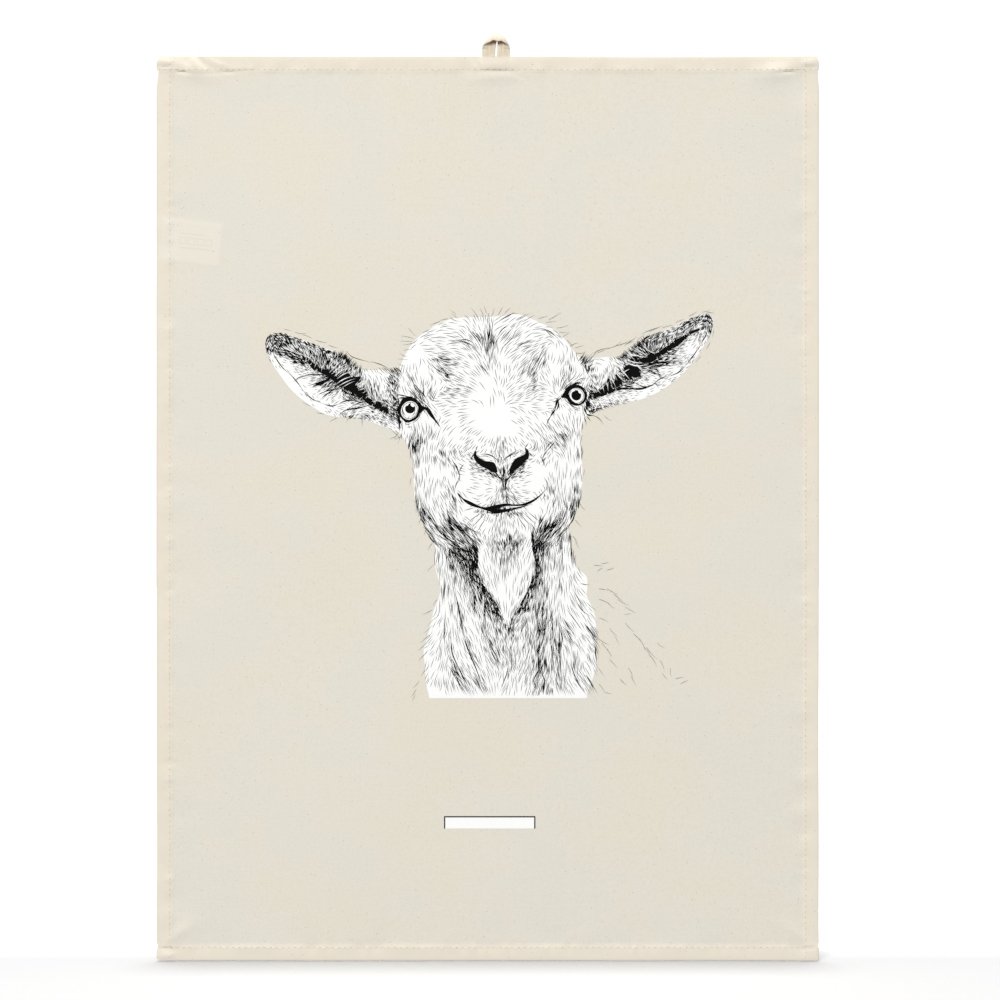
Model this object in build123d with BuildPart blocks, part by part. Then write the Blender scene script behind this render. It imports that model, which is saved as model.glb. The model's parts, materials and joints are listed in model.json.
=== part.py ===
"""Printed cotton tea towel that hangs from a tape loop, its printed front towards -Y.

The origin is the point where a hook carries the loop: on the loop's middle line, in the plane
of its two tape legs, under the bend. +X is to the right seen from the front, and +Z is up.
The towel bends along one line across its middle, which splits it into an upper and a lower half.
All lengths are in millimetres.
"""

import os
from math import cos, radians, sin, sqrt

from build123d import *

os.makedirs("parts", exist_ok=True)

# ---- Driving dimensions ----

TOWEL_WIDTH = 500.0
TOWEL_HEIGHT = 683.0
TOWEL_SHIFT = -6.2  # from the loop's middle line to the towel's, so the loop is right of centre
CLOTH_THICKNESS = 0.4

HEM_WIDTH = 10.6
HEM_THICKNESS = 0.8  # two turned layers of cloth
HEM_CORNER_THICKNESS = 1.4  # where the top and bottom hems wrap the side hems
HEM_CORNER_LAP = 3.0
SEAM_INSET = 9.7
SEAM_CLEARANCE = 1.0
THREAD_WIDTH = 0.5
THREAD_THICKNESS = 0.2

FOLD_BELOW_MIDDLE = 3.0  # keeps the folded lower edge short of the top edge
FOLD_GAP = 0.4

TAPE_WIDTH = 9.8
TAPE_THICKNESS = 0.8
TAPE_SLIT = 1.4  # between the two legs
LOOP_RISE = 16.0  # from the towel's top edge to the inside of the bend
LOOP_LEG_HEIGHT = 6.6  # straight part of each leg above the towel's top edge
LOOP_CAP_DROP = 4.8  # the bend's front edge hangs this far below its back edge
LOOP_HINGE_HEIGHT = 1.0  # above the towel's top edge
LOOP_HINGE_CLEARANCE = 1.2
TAPE_TAIL_LENGTH = 12.5

LABEL_LENGTH = 44.0
LABEL_WIDTH = 32.0
LABEL_THICKNESS = 0.2
LABEL_TILT = 5.8  # degrees, clockwise seen from the front
LABEL_DROP = 139.5  # from the towel's top edge to the label's middle
LABEL_MARGIN = 5.7  # part of its length that is caught outside the hem's stitches
LABEL_HINGE_CLEARANCE = 0.6
LABEL_PRINT_LEFT = -9.0  # from the label's middle
LABEL_ROW_LENGTHS = (17.6, 27.4)
LABEL_ROW_SPACING = 10.8
LABEL_ROW_HEIGHT = 0.8
LABEL_SYMBOL_SIZE = 5.0
LABEL_SYMBOL_PITCH = 6.6
LABEL_SYMBOL_LINE = 0.5

INK_THICKNESS = 0.1
BASE_INK_THICKNESS = 0.12

CAPTION_LEFT = -33.0
CAPTION_RIGHT = 36.0
CAPTION_TOP = -574.0
CAPTION_HEIGHT = 9.3
CAPTION_LINE = 0.9

# ---- Levels worked out from them ----

HALF_WIDTH = TOWEL_WIDTH / 2
BEND_THICKNESS = TAPE_THICKNESS * TAPE_WIDTH / sqrt(TAPE_WIDTH**2 - LOOP_CAP_DROP**2)
TOP_EDGE = -LOOP_RISE
FOLD_LEVEL = -TOWEL_HEIGHT / 2 - FOLD_BELOW_MIDDLE  # below the towel's top edge

# Depths are distances in front of the middle of the loop's tape.
TAPE_FRONT = TAPE_THICKNESS / 2
CLOTH_BACK = TAPE_FRONT + HEM_THICKNESS
CLOTH_FRONT = CLOTH_BACK + CLOTH_THICKNESS
PRINT_FRONT = CLOTH_FRONT + BASE_INK_THICKNESS

UPPER = (FOLD_LEVEL + FOLD_GAP / 2, 0.0)
LOWER = (-TOWEL_HEIGHT, FOLD_LEVEL - FOLD_GAP / 2)
HALVES = {"upper": UPPER, "lower": LOWER}


def layer(depth):
    """Plane of the towel at a depth, with its origin at the middle of the towel's top edge."""
    return Plane(origin=(TOWEL_SHIFT, -depth, TOP_EDGE), x_dir=(1, 0, 0), z_dir=(0, -1, 0))


def band(left, right, low, high, mode=Mode.ADD):
    """Rectangle between two side lines and two levels of the towel."""
    with Locations(((left + right) / 2, (low + high) / 2)):
        Rectangle(right - left, high - low, mode=mode)


def keep_between(low, high):
    """Cut the sketch down to what lies between two levels of the towel."""
    band(-HALF_WIDTH, HALF_WIDTH, low, high, mode=Mode.INTERSECT)


def smooth_shape(*points):
    """Closed shape with a smooth outline through the points."""
    with BuildLine() as outline:
        Spline(*points, periodic=True)
    make_face(outline.edges())


def stroke(start, bulge, end, width):
    """Curved brush stroke that tapers to both ends: start, a point it passes, end, and width."""
    side_x, side_y = start[1] - end[1], end[0] - start[0]
    half = width / 2 / sqrt(side_x**2 + side_y**2)
    above = (bulge[0] + side_x * half, bulge[1] + side_y * half)
    below = (bulge[0] - side_x * half, bulge[1] - side_y * half)
    with BuildLine() as outline:
        ThreePointArc(start, above, end)
        ThreePointArc(end, below, start)
    make_face(outline.edges())


def save(piece, name):
    """Label a finished piece and write its STEP file."""
    piece.part.label = name
    export_step(piece.part, f"parts/{name}.step")


# ---- Cloth: one sheet, split where it folds ----

for half, (low, high) in HALVES.items():
    with BuildPart() as cloth:
        with BuildSketch(layer(CLOTH_BACK)):
            band(-HALF_WIDTH, HALF_WIDTH, low, high)
        extrude(amount=CLOTH_THICKNESS)
    save(cloth, f"cloth_{half}")

# ---- Hems: the cloth's edges, turned twice to the back ----

HEM_INNER = HALF_WIDTH - HEM_WIDTH
SIDES = {"left": (-HALF_WIDTH, -HEM_INNER), "right": (HEM_INNER, HALF_WIDTH)}

for half, (low, high) in HALVES.items():
    for side, (left, right) in SIDES.items():
        with BuildPart() as side_hem:
            with BuildSketch(layer(TAPE_FRONT)):
                band(left, right, low, high)
            extrude(amount=HEM_THICKNESS)
        save(side_hem, f"hem_{side}_{half}")

HEM_LEVELS = {"top": (-HEM_WIDTH, 0.0), "bottom": (-TOWEL_HEIGHT, HEM_WIDTH - TOWEL_HEIGHT)}

for end, (low, high) in HEM_LEVELS.items():
    with BuildPart() as end_hem:
        with BuildSketch(layer(TAPE_FRONT)):
            band(-HEM_INNER, HEM_INNER, low, high)
        extrude(amount=HEM_THICKNESS)
        with BuildSketch(layer(TAPE_FRONT)):
            band(-HALF_WIDTH, HEM_CORNER_LAP - HEM_INNER, low, high)
            band(HEM_INNER - HEM_CORNER_LAP, HALF_WIDTH, low, high)
        extrude(amount=-HEM_CORNER_THICKNESS)
    save(end_hem, f"hem_{end}")

# ---- Seams: needle thread on the front, bobbin thread on the back of each hem ----

SEAM_LINE = HALF_WIDTH - SEAM_INSET
THREAD_HALF = THREAD_WIDTH / 2
TAILS_WIDTH = 2 * TAPE_WIDTH + TAPE_SLIT
SIDE_SEAM_ENDS = {
    "upper": (UPPER[0], -SEAM_INSET - SEAM_CLEARANCE),
    "lower": (SEAM_INSET + SEAM_CLEARANCE - TOWEL_HEIGHT, LOWER[1]),
}

for half, (low, high) in SIDE_SEAM_ENDS.items():
    for side, line in {"left": -SEAM_LINE, "right": SEAM_LINE}.items():
        with BuildPart() as side_seam:
            with BuildSketch(layer(CLOTH_FRONT)):
                band(line - THREAD_HALF, line + THREAD_HALF, low, high)
            extrude(amount=THREAD_THICKNESS)
            with BuildSketch(layer(TAPE_FRONT - THREAD_THICKNESS)):
                band(line - THREAD_HALF, line + THREAD_HALF, low, high)
            extrude(amount=THREAD_THICKNESS)
        save(side_seam, f"seam_{side}_{half}")

BOBBIN_REACH = HEM_INNER - HEM_CORNER_LAP - SEAM_CLEARANCE
TAILS_LEFT = -TOWEL_SHIFT - TAILS_WIDTH / 2 - SEAM_CLEARANCE
TAILS_RIGHT = -TOWEL_SHIFT + TAILS_WIDTH / 2 + SEAM_CLEARANCE
SEAM_LEVELS = {"top": -SEAM_INSET, "bottom": SEAM_INSET - TOWEL_HEIGHT}
BOBBIN_RUNS = {
    "top": [(-BOBBIN_REACH, TAILS_LEFT), (TAILS_RIGHT, BOBBIN_REACH)],
    "bottom": [(-BOBBIN_REACH, BOBBIN_REACH)],
}

for end, level in SEAM_LEVELS.items():
    with BuildPart() as end_seam:
        with BuildSketch(layer(CLOTH_FRONT)):
            band(-HALF_WIDTH, HALF_WIDTH, level - THREAD_HALF, level + THREAD_HALF)
        extrude(amount=THREAD_THICKNESS)
        with BuildSketch(layer(TAPE_FRONT - THREAD_THICKNESS)):
            for left, right in BOBBIN_RUNS[end]:
                band(left, right, level - THREAD_HALF, level + THREAD_HALF)
        extrude(amount=THREAD_THICKNESS)
    save(end_seam, f"seam_{end}")

# ---- Hanging loop: a tape whose legs lie side by side, with the bend leaning forwards ----

CAP_REACH = sqrt(TAPE_WIDTH**2 - LOOP_CAP_DROP**2)
BEND_TOP = LOOP_RISE + BEND_THICKNESS / 2  # middle of the tape at the bend's back edge
BEND_RISE = BEND_TOP - LOOP_LEG_HEIGHT
LEG_FOOT = LOOP_HINGE_HEIGHT + LOOP_HINGE_CLEARANCE
LEG_LEVELS = (LEG_FOOT, LOOP_LEG_HEIGHT / 2, LOOP_LEG_HEIGHT * 0.75)
BEND_ANGLES = (22.0, 40.0, 58.0, 74.0)


def leg_plane(side, height):
    """Level cross-section of a leg; side is -1 for the left leg and 1 for the right."""
    middle = side * (TAPE_SLIT + TAPE_WIDTH) / 2
    return Plane(origin=(middle, 0, TOP_EDGE + height), x_dir=(side, 0, 0), z_dir=(0, 0, -side))


def bend_plane(side, angle):
    """Cross-section of the bend, at 0 degrees beside a leg and at 90 degrees in the middle."""
    turn, rise = cos(radians(angle)), sin(radians(angle))
    across = Vector(
        side * turn, -rise * CAP_REACH / TAPE_WIDTH, -rise * LOOP_CAP_DROP / TAPE_WIDTH
    )
    back = Vector(side * turn * TAPE_SLIT / 2, 0, TOP_EDGE + LOOP_LEG_HEIGHT + rise * BEND_RISE)
    middle = back + across * (TAPE_WIDTH / 2)
    climb = Vector(
        -side * rise * (TAPE_SLIT + TAPE_WIDTH) / 2,
        -turn * CAP_REACH / 2,
        turn * (BEND_RISE - LOOP_CAP_DROP / 2),
    )
    along = (climb - across * climb.dot(across)) * -side
    return Plane(origin=middle, x_dir=across, z_dir=along)


with BuildPart() as hanging_loop:
    left_planes = [leg_plane(-1, height) for height in LEG_LEVELS]
    left_planes += [bend_plane(-1, angle) for angle in BEND_ANGLES]
    right_planes = [bend_plane(1, angle) for angle in reversed(BEND_ANGLES)]
    right_planes += [leg_plane(1, height) for height in reversed(LEG_LEVELS)]
    for section in left_planes + [bend_plane(-1, 90.0)] + right_planes:
        with BuildSketch(section):
            Rectangle(TAPE_WIDTH, TAPE_THICKNESS)
    loft()
save(hanging_loop, "hanging_loop")

# ---- Tails of the loop's tape, held behind the top hem by its seam ----

TAIL_TOP = LOOP_HINGE_HEIGHT - LOOP_HINGE_CLEARANCE
LEG_MIDDLE = (TAPE_SLIT + TAPE_WIDTH) / 2

with BuildPart() as hanging_loop_tails:
    with BuildSketch(layer(-TAPE_FRONT)):
        for middle in (-TOWEL_SHIFT - LEG_MIDDLE, -TOWEL_SHIFT + LEG_MIDDLE):
            band(middle - TAPE_WIDTH / 2, middle + TAPE_WIDTH / 2, -TAPE_TAIL_LENGTH, TAIL_TOP)
    extrude(amount=TAPE_THICKNESS)
save(hanging_loop_tails, "hanging_loop_tails")

with BuildPart() as loop_tacking:
    with BuildSketch(layer(-TAPE_FRONT - THREAD_THICKNESS)):
        band(TAILS_LEFT, TAILS_RIGHT, -SEAM_INSET - THREAD_HALF, THREAD_HALF - SEAM_INSET)
    extrude(amount=THREAD_THICKNESS)
save(loop_tacking, "loop_tacking")

# ---- Care label: its margin is caught by the left seam, and its flap turns about that seam ----

LABEL_LEFT = -SEAM_LINE - LABEL_MARGIN
LABEL_MIDDLE = (LABEL_LEFT + LABEL_LENGTH / 2, -LABEL_DROP)
LABEL_BACK = TAPE_FRONT - LABEL_THICKNESS
LABEL_CUT = SEAM_LINE - LABEL_HINGE_CLEARANCE
LABEL_LEVELS = (-LABEL_DROP - LABEL_WIDTH, -LABEL_DROP + LABEL_WIDTH)


def label_outline():
    """The whole label, tilted about its middle."""
    with Locations(Location(LABEL_MIDDLE, -LABEL_TILT)):
        Rectangle(LABEL_LENGTH, LABEL_WIDTH)


with BuildPart() as care_label:
    with BuildSketch(layer(LABEL_BACK)):
        label_outline()
        band(-LABEL_CUT, 0, *LABEL_LEVELS, mode=Mode.INTERSECT)
    extrude(amount=LABEL_THICKNESS)
save(care_label, "care_label")

with BuildPart() as care_label_margin:
    with BuildSketch(layer(LABEL_BACK)):
        label_outline()
        band(-HALF_WIDTH, -SEAM_LINE - THREAD_WIDTH, *LABEL_LEVELS, mode=Mode.INTERSECT)
    extrude(amount=LABEL_THICKNESS)
save(care_label_margin, "care_label_margin")

def care_symbol(sides):
    """Outlined care symbol: a regular polygon, or a ring if it has no sides."""
    outer = LABEL_SYMBOL_SIZE / 2
    for radius, mode in ((outer, Mode.ADD), (outer - LABEL_SYMBOL_LINE, Mode.SUBTRACT)):
        if sides:
            RegularPolygon(radius, sides, mode=mode)
        else:
            Circle(radius, mode=mode)


with BuildPart() as care_label_print:
    with BuildSketch(layer(LABEL_BACK - INK_THICKNESS)):
        with Locations(Location(LABEL_MIDDLE, -LABEL_TILT)):
            for row, length in enumerate(LABEL_ROW_LENGTHS):
                row_level = LABEL_ROW_SPACING * (0.5 - row)
                with Locations((LABEL_PRINT_LEFT + length / 2, row_level)):
                    Rectangle(length, LABEL_ROW_HEIGHT)
            for place, sides in enumerate((4, 3, 8, 0)):
                with Locations((LABEL_PRINT_LEFT + LABEL_SYMBOL_PITCH * (place + 0.5), 0)):
                    care_symbol(sides)
    extrude(amount=INK_THICKNESS)
save(care_label_print, "care_label_print")

# ---- Print: a goat's head in white, drawn over in black ----


def goat_silhouette():
    """Outline of the head, the ears, the jaw and the neck."""
    smooth_shape((0, -197), (35, -199), (72, -228), (75, -265), (71, -316), (52, -360),
                 (11, -376), (-34, -368), (-56, -325), (-60, -286), (-70, -258), (-62, -222),
                 (-34, -199))
    smooth_shape((-166, -219), (-158, -210), (-118, -223), (-92, -238), (-66, -238),
                 (-58, -262), (-66, -286), (-98, -272), (-128, -267), (-152, -248))
    smooth_shape((62, -224), (101, -228), (135, -206), (163, -195), (170, -203), (150, -238),
                 (118, -259), (76, -269), (60, -248))
    with BuildLine() as neck:
        Spline((-39, -350), (-36, -400), (-47, -450), (-45, -485))
        Line((-45, -485), (76, -485))
        Spline((76, -485), (82, -455), (75, -408), (60, -350))
        Line((60, -350), (-39, -350))
    make_face(neck.edges())


EYES = ((-59, -267), (67, -255))
EYE_RADIUS = 7.0
FUR_ROWS = 5
FUR_PITCH = 22.0


def goat_features():
    """Eyes, nose, mouth, ear folds, beard and rows of neck fur."""
    with Locations(*EYES):
        Circle(EYE_RADIUS)
    stroke((-51, -264), (-43, -274), (-37, -279), 3)  # tear ducts
    stroke((57, -254), (49, -266), (45, -277), 3)
    stroke((-9, -298), (-5, -306), (6, -313), 4)  # nostrils
    stroke((30, -297), (27, -305), (17, -313), 4)
    stroke((11, -310), (14, -321), (14, -332), 2)
    stroke((-22, -330), (-6, -339), (14, -340), 3)  # mouth
    stroke((14, -340), (30, -338), (44, -327), 3)
    stroke((-17, -348), (10, -366), (41, -348), 4)  # chin
    stroke((-160, -216), (-118, -241), (-77, -268), 6)  # ear folds
    stroke((160, -205), (124, -228), (87, -252), 6)
    stroke((-58, -292), (-53, -342), (-20, -371), 4)  # jaw
    stroke((70, -290), (66, -340), (43, -366), 3)
    stroke((-33, -199), (-58, -212), (-66, -240), 4)  # crown
    stroke((20, -195), (55, -208), (72, -232), 4)
    stroke((2, -200), (0, -217), (4, -234), 3)
    stroke((-7, -371), (-3, -404), (16, -433), 5)  # beard
    stroke((34, -368), (35, -392), (16, -433), 5)
    for row in range(FUR_ROWS):
        drop = FUR_PITCH * row
        stroke((-34, -376 - drop), (-30, -390 - drop), (-22, -399 - drop), 3)
        stroke((62, -376 - drop), (58, -390 - drop), (50, -399 - drop), 3)


for half, levels in HALVES.items():
    with BuildPart() as print_base:
        with BuildSketch(layer(CLOTH_FRONT)):
            goat_silhouette()
            keep_between(*levels)
        extrude(amount=BASE_INK_THICKNESS)
    save(print_base, f"print_base_{half}")

    with BuildPart() as print_lines:
        with BuildSketch(layer(PRINT_FRONT)):
            goat_features()
            keep_between(*levels)
        extrude(amount=INK_THICKNESS)
    save(print_lines, f"print_lines_{half}")

# ---- Caption plate: a blank white strip in a frame that is open below ----

CAPTION_LOW = CAPTION_TOP - CAPTION_HEIGHT

with BuildPart() as caption_panel:
    with BuildSketch(layer(CLOTH_FRONT)):
        band(CAPTION_LEFT, CAPTION_RIGHT, CAPTION_LOW, CAPTION_TOP)
    extrude(amount=BASE_INK_THICKNESS)
save(caption_panel, "caption_panel")

with BuildPart() as caption_frame:
    with BuildSketch(layer(PRINT_FRONT)):
        band(CAPTION_LEFT, CAPTION_RIGHT, CAPTION_LOW, CAPTION_TOP)
        band(
            CAPTION_LEFT + CAPTION_LINE,
            CAPTION_RIGHT - CAPTION_LINE,
            CAPTION_LOW,
            CAPTION_TOP - CAPTION_LINE,
            mode=Mode.SUBTRACT,
        )
    extrude(amount=INK_THICKNESS)
save(caption_frame, "caption_frame")
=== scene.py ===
"""Looks of a printed cotton tea towel: cloth, hems, stitches, tape loop, care label and print."""

import json
from math import cos, pi, radians, sin

import bmesh
import bpy
import numpy as np
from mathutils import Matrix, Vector
from mathutils.geometry import delaunay_2d_cdt


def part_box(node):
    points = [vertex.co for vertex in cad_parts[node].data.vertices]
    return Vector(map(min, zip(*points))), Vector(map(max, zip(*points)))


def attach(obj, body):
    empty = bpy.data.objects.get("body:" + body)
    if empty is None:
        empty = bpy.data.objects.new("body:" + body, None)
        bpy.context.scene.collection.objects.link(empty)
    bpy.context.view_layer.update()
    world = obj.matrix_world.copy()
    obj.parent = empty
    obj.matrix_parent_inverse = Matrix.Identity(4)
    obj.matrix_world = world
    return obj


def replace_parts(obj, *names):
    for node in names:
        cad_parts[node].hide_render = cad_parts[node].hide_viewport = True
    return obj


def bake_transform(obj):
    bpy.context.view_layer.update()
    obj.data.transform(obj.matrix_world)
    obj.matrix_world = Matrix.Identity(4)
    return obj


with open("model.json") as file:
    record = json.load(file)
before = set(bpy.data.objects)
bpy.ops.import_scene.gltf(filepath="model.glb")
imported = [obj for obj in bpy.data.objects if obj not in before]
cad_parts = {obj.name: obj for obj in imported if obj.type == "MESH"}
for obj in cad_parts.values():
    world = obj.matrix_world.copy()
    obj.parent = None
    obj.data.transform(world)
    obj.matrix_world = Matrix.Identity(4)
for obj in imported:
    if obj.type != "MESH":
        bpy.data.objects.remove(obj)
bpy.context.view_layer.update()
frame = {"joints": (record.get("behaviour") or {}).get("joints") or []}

# ---- Sizes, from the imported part, in millimetres ----
# The towel's drawing has its origin at the middle of the top edge: u is to the right, down is
# below the top edge.

MM = 0.001


def box_mm(node):
    """Lowest and highest corner of a CAD node, in millimetres."""
    low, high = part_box(node)
    return np.array(low) / MM, np.array(high) / MM


UPPER_LOW, UPPER_HIGH = box_mm("cloth_upper")
LOWER_LOW = box_mm("cloth_lower")[0]
WIDTH = UPPER_HIGH[0] - UPPER_LOW[0]
HEIGHT = UPPER_HIGH[2] - LOWER_LOW[2]
HALF_WIDTH = WIDTH / 2
MIDDLE = (UPPER_LOW[0] + UPPER_HIGH[0]) / 2
TOP = UPPER_HIGH[2]
FRONT = UPPER_LOW[1]
CLOTH_THICKNESS = UPPER_HIGH[1] - UPPER_LOW[1]
HEM_LOW, HEM_HIGH = box_mm("hem_left_upper")
HEM_WIDTH = HEM_HIGH[0] - HEM_LOW[0]
HEM_THICKNESS = HEM_HIGH[1] - HEM_LOW[1]
SEAM_LOW, SEAM_HIGH = box_mm("seam_left_upper")
SEAM_INSET = (SEAM_LOW[0] + SEAM_HIGH[0]) / 2 - UPPER_LOW[0]
JOINTS = {joint["name"]: np.array(joint["pos_m"]) / MM for joint in frame["joints"]}
FOLD_DOWN = TOP - JOINTS["middle_fold"][2]
LABEL_HINGE = JOINTS["label_flip"][0] - MIDDLE


def smooth_step(low, high, value):
    """0 below low, 1 above high, and a smooth rise between them."""
    share = np.clip((value - low) / (high - low), 0.0, 1.0)
    return share * share * (3 - 2 * share)


def bell(distance, width):
    """1 where the distance is 0, falling away over the width."""
    return np.exp(-((distance / width) ** 2))


# ---- The shape of the cloth's front ----


def smooth_noise(seed, cell_u, cell_down):
    """Function of (u, down) that wanders smoothly between -1 and 1, in cells of that size."""
    shape = (int(WIDTH / cell_u) + 6, int(HEIGHT / cell_down) + 6)
    heights = np.random.default_rng(seed).uniform(-1, 1, shape)

    def sample(u, down):
        column = np.clip((u + HALF_WIDTH) / cell_u + 2, 0, shape[0] - 1.001)
        row = np.clip(down / cell_down + 2, 0, shape[1] - 1.001)
        i, j = column.astype(int), row.astype(int)
        s, t = column - i, row - j
        s, t = s * s * (3 - 2 * s), t * t * (3 - 2 * t)
        upper = heights[i, j] * (1 - s) + heights[i + 1, j] * s
        lower = heights[i, j + 1] * (1 - s) + heights[i + 1, j + 1] * s
        return upper * (1 - t) + lower * t

    return sample


SWELL = smooth_noise(11, 115, 150)
RIPPLE = smooth_noise(12, 46, 62)
SIDE_PUCKER = smooth_noise(13, 9, 4.2)
END_PUCKER = smooth_noise(14, 4.2, 9)
SIDE_BULGE = smooth_noise(15, 22, 13)
END_BULGE = smooth_noise(16, 13, 22)
EDGE_WANDER = smooth_noise(17, 60, 38)
TURN_EDGE = 11.5  # the turned hem ends here, and shows as a step on the front

# Heights on the cloth's front, and how far each one reaches
SWELL_HEIGHT, RIPPLE_HEIGHT, CALM_AT_FOLD = 0.55, 0.16, 26.0
PUCKER_HEIGHT, PUCKER_REACH = 0.34, 3.2  # small puckers at a seam
BULGE_HEIGHT, BULGE_REACH = 0.55, 9.0  # longer bulges at a seam
GROOVE_DEPTH, GROOVE_WIDTH = 0.06, 0.8  # where the stitches pull the cloth in
HEM_STEP, HEM_ARCH = 0.36, 0.06
EDGE_DROP, EDGE_ROUND = 0.12, 0.3  # the towel's edge is rounded off
LABEL_LIFT = 0.16

# Folds and lumps, listed one by one: middle (u, down), direction of the fold in degrees, half its length,
# half its width, height
LUMPS = (
    (-221.5, 4.5, 62, 7, 2.2, 0.74),  # ridge across the top hem, near its left end
    (-229.0, 4.0, 75, 6, 2.2, -0.46),
    (-213.0, 5.5, 35, 8, 2.0, -0.51),
    (-203.0, 6.0, 20, 9, 2.0, 0.46),
    (-244.0, 7.4, 0, 7, 0.8, -0.78),  # crease where the top hem lies over the side hem
    (-244.5, 4.0, 10, 5, 2.6, 0.57),
    (-230.5, 11.9, 5, 5.5, 0.9, -1.38),  # dark pucker under the seam
    (-222.0, 11.0, 15, 16, 7.0, 1.50),
    (-196.0, 11.6, -4, 17, 0.9, -0.69),
    (6.2, 10.9, 0, 15, 0.8, -1.15),  # crease under the loop's stitching
    (6.2, 6.0, 0, 13, 4.0, 0.92),
    (8.0, 15.5, -3, 19, 4.0, 0.83),
    (24.0, 14.5, 25, 8, 1.6, -0.46),
    (-8.5, 5.0, 55, 6, 1.2, -0.37),
    (217.0, 12.0, -12, 16, 7.0, 1.38),
    (226.0, 11.8, -4, 8, 0.9, -0.97),
    (243.0, 5.0, -10, 6, 2.6, 0.57),
    (244.0, 8.0, 0, 6, 0.8, -0.57),
    (-243.0, 674.0, 5, 6, 1.0, -0.78),
    (-242.0, 679.0, -8, 6, 2.4, 0.69),
    (243.0, 673.5, -5, 6, 1.0, -0.69),
    (232.0, 662.0, 40, 12, 4.0, 0.57),
    (-230.0, 660.0, -35, 13, 4.0, 0.64),
)

LABEL_LENGTH, LABEL_HEIGHT, LABEL_TILT = 44.0, 32.0, 5.8
LABEL_MARGIN = 5.7  # of the label lies left of the seam
MARKS_LEFT = -9.0  # where the label's print begins, from the label's middle
LABEL_ROWS = ((-5.4, 17.6), (5.4, 27.4))  # bars of print: place across the label, length
ROW_LINE, SYMBOL_LINE = 0.8, 0.5
SYMBOL_SIZE, SYMBOL_PITCH = 5.0, 6.6
LABEL_MIDDLE = np.array((LABEL_HINGE - LABEL_MARGIN + LABEL_LENGTH / 2, 139.5))


def in_label(u, down):
    """Position on the label: along it and across it from its middle, in millimetres."""
    turn = radians(LABEL_TILT)
    right, below = u - LABEL_MIDDLE[0], down - LABEL_MIDDLE[1]
    return right * cos(turn) + below * sin(turn), below * cos(turn) - right * sin(turn)


def relief(u, down):
    """How far the cloth's front stands forward of flat, in millimetres."""
    side, end = HALF_WIDTH - np.abs(u), np.minimum(down, HEIGHT - down)
    clear_of_fold = 1 - bell(down - FOLD_DOWN, CALM_AT_FOLD)
    height = clear_of_fold * (SWELL_HEIGHT * SWELL(u, down) + RIPPLE_HEIGHT * RIPPLE(u, down))
    for distance, pucker, bulge in ((side, SIDE_PUCKER, SIDE_BULGE), (end, END_PUCKER, END_BULGE)):
        from_seam = distance - SEAM_INSET
        height = height - GROOVE_DEPTH * bell(from_seam, GROOVE_WIDTH)
        height = height + PUCKER_HEIGHT * pucker(u, down) * np.exp(-np.abs(from_seam) / PUCKER_REACH)
        height = height + BULGE_HEIGHT * bulge(u, down) * np.exp(-np.abs(from_seam) / BULGE_REACH)
        height = height + HEM_STEP * (1 - smooth_step(TURN_EDGE - 0.5, TURN_EDGE + 0.6, distance))
        in_hem = np.clip(distance / SEAM_INSET, 0, 1)
        height = height + HEM_ARCH * np.sin(pi * in_hem) - EDGE_DROP * np.exp(-distance / EDGE_ROUND)
    for middle_u, middle_down, angle, length, width, lift in LUMPS:
        turn = radians(angle)
        right, below = u - middle_u, down - middle_down
        along = right * cos(turn) + below * sin(turn)
        across = below * cos(turn) - right * sin(turn)
        height = height + lift * bell(along, length) * bell(across, width)
    along, across = in_label(u, down)
    outside = np.maximum(np.abs(along) - LABEL_LENGTH / 2, np.abs(across) - LABEL_HEIGHT / 2)
    return height + LABEL_LIFT * (1 - smooth_step(-1.2, 1.6, outside))


def pull_edges(u, down):
    """Where the towel's uneven outline moves a point of its drawing."""
    side, end = HALF_WIDTH - np.abs(u), np.minimum(down, HEIGHT - down)
    left = u < 0
    wander = 0.20 * EDGE_WANDER(u, down)
    # the sides step in below the top hem
    band_end = np.where(left, 1.35, 0.9) * smooth_step(9.0, 10.8, down) * bell(down - 10.8, 9.0)
    # the top corners are cut off a little, and the bottom hem's ends have a notch
    chamfer = np.where(left, 2.2, 1.3) * bell(down, 2.5) * np.exp(-side / 2.5)
    notch = np.where(left, 0.9, 0.6) * bell(down - (HEIGHT - HEM_WIDTH), 1.6) * np.exp(-side / 2.5)
    inward = (wander + band_end) * np.exp(-side / 8.0) + chamfer + notch
    # the bottom corners stand a little high
    lift = np.where(left, 1.1, 0.4) * np.exp(-side / 7.0) * np.exp(-(HEIGHT - down) / 6.0)
    sag = 0.3 * EDGE_WANDER(u, down) * np.exp(-end / 8.0)
    return u - np.sign(u) * inward, down - lift + np.sign(down - HEIGHT / 2) * sag


def surface(points, raised=0.0):
    """Points (u, down) of the drawing as (x, y, z) in millimetres, raised in front of the cloth."""
    u, down = points[..., 0], points[..., 1]
    pulled_u, pulled_down = pull_edges(u, down)
    return np.stack((MIDDLE + pulled_u, FRONT - relief(u, down) - raised, TOP - pulled_down), -1)


# ---- Meshes ----

SHARP_EDGE = radians(40)


def make_piece(name, points, faces, material, floats=None):
    """Mesh object from points in millimetres. It keeps its rest place for its material."""
    mesh = bpy.data.meshes.new(name)
    mesh.from_pydata((np.asarray(points) * MM).tolist(), [], faces)
    mesh.validate()
    mesh.polygons.foreach_set("use_smooth", [True] * len(mesh.polygons))
    rest = mesh.attributes.new("rest", "FLOAT_VECTOR", "POINT")
    rest.data.foreach_set("vector", np.asarray(points, np.float32).ravel())
    for label, values in (floats or {}).items():
        attribute = mesh.attributes.new(label, "FLOAT", "POINT")
        attribute.data.foreach_set("value", np.asarray(values, np.float32).ravel())
    mesh.materials.append(material)
    piece = bpy.data.objects.new(name, mesh)
    bpy.context.scene.collection.objects.link(piece)
    return piece


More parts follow.
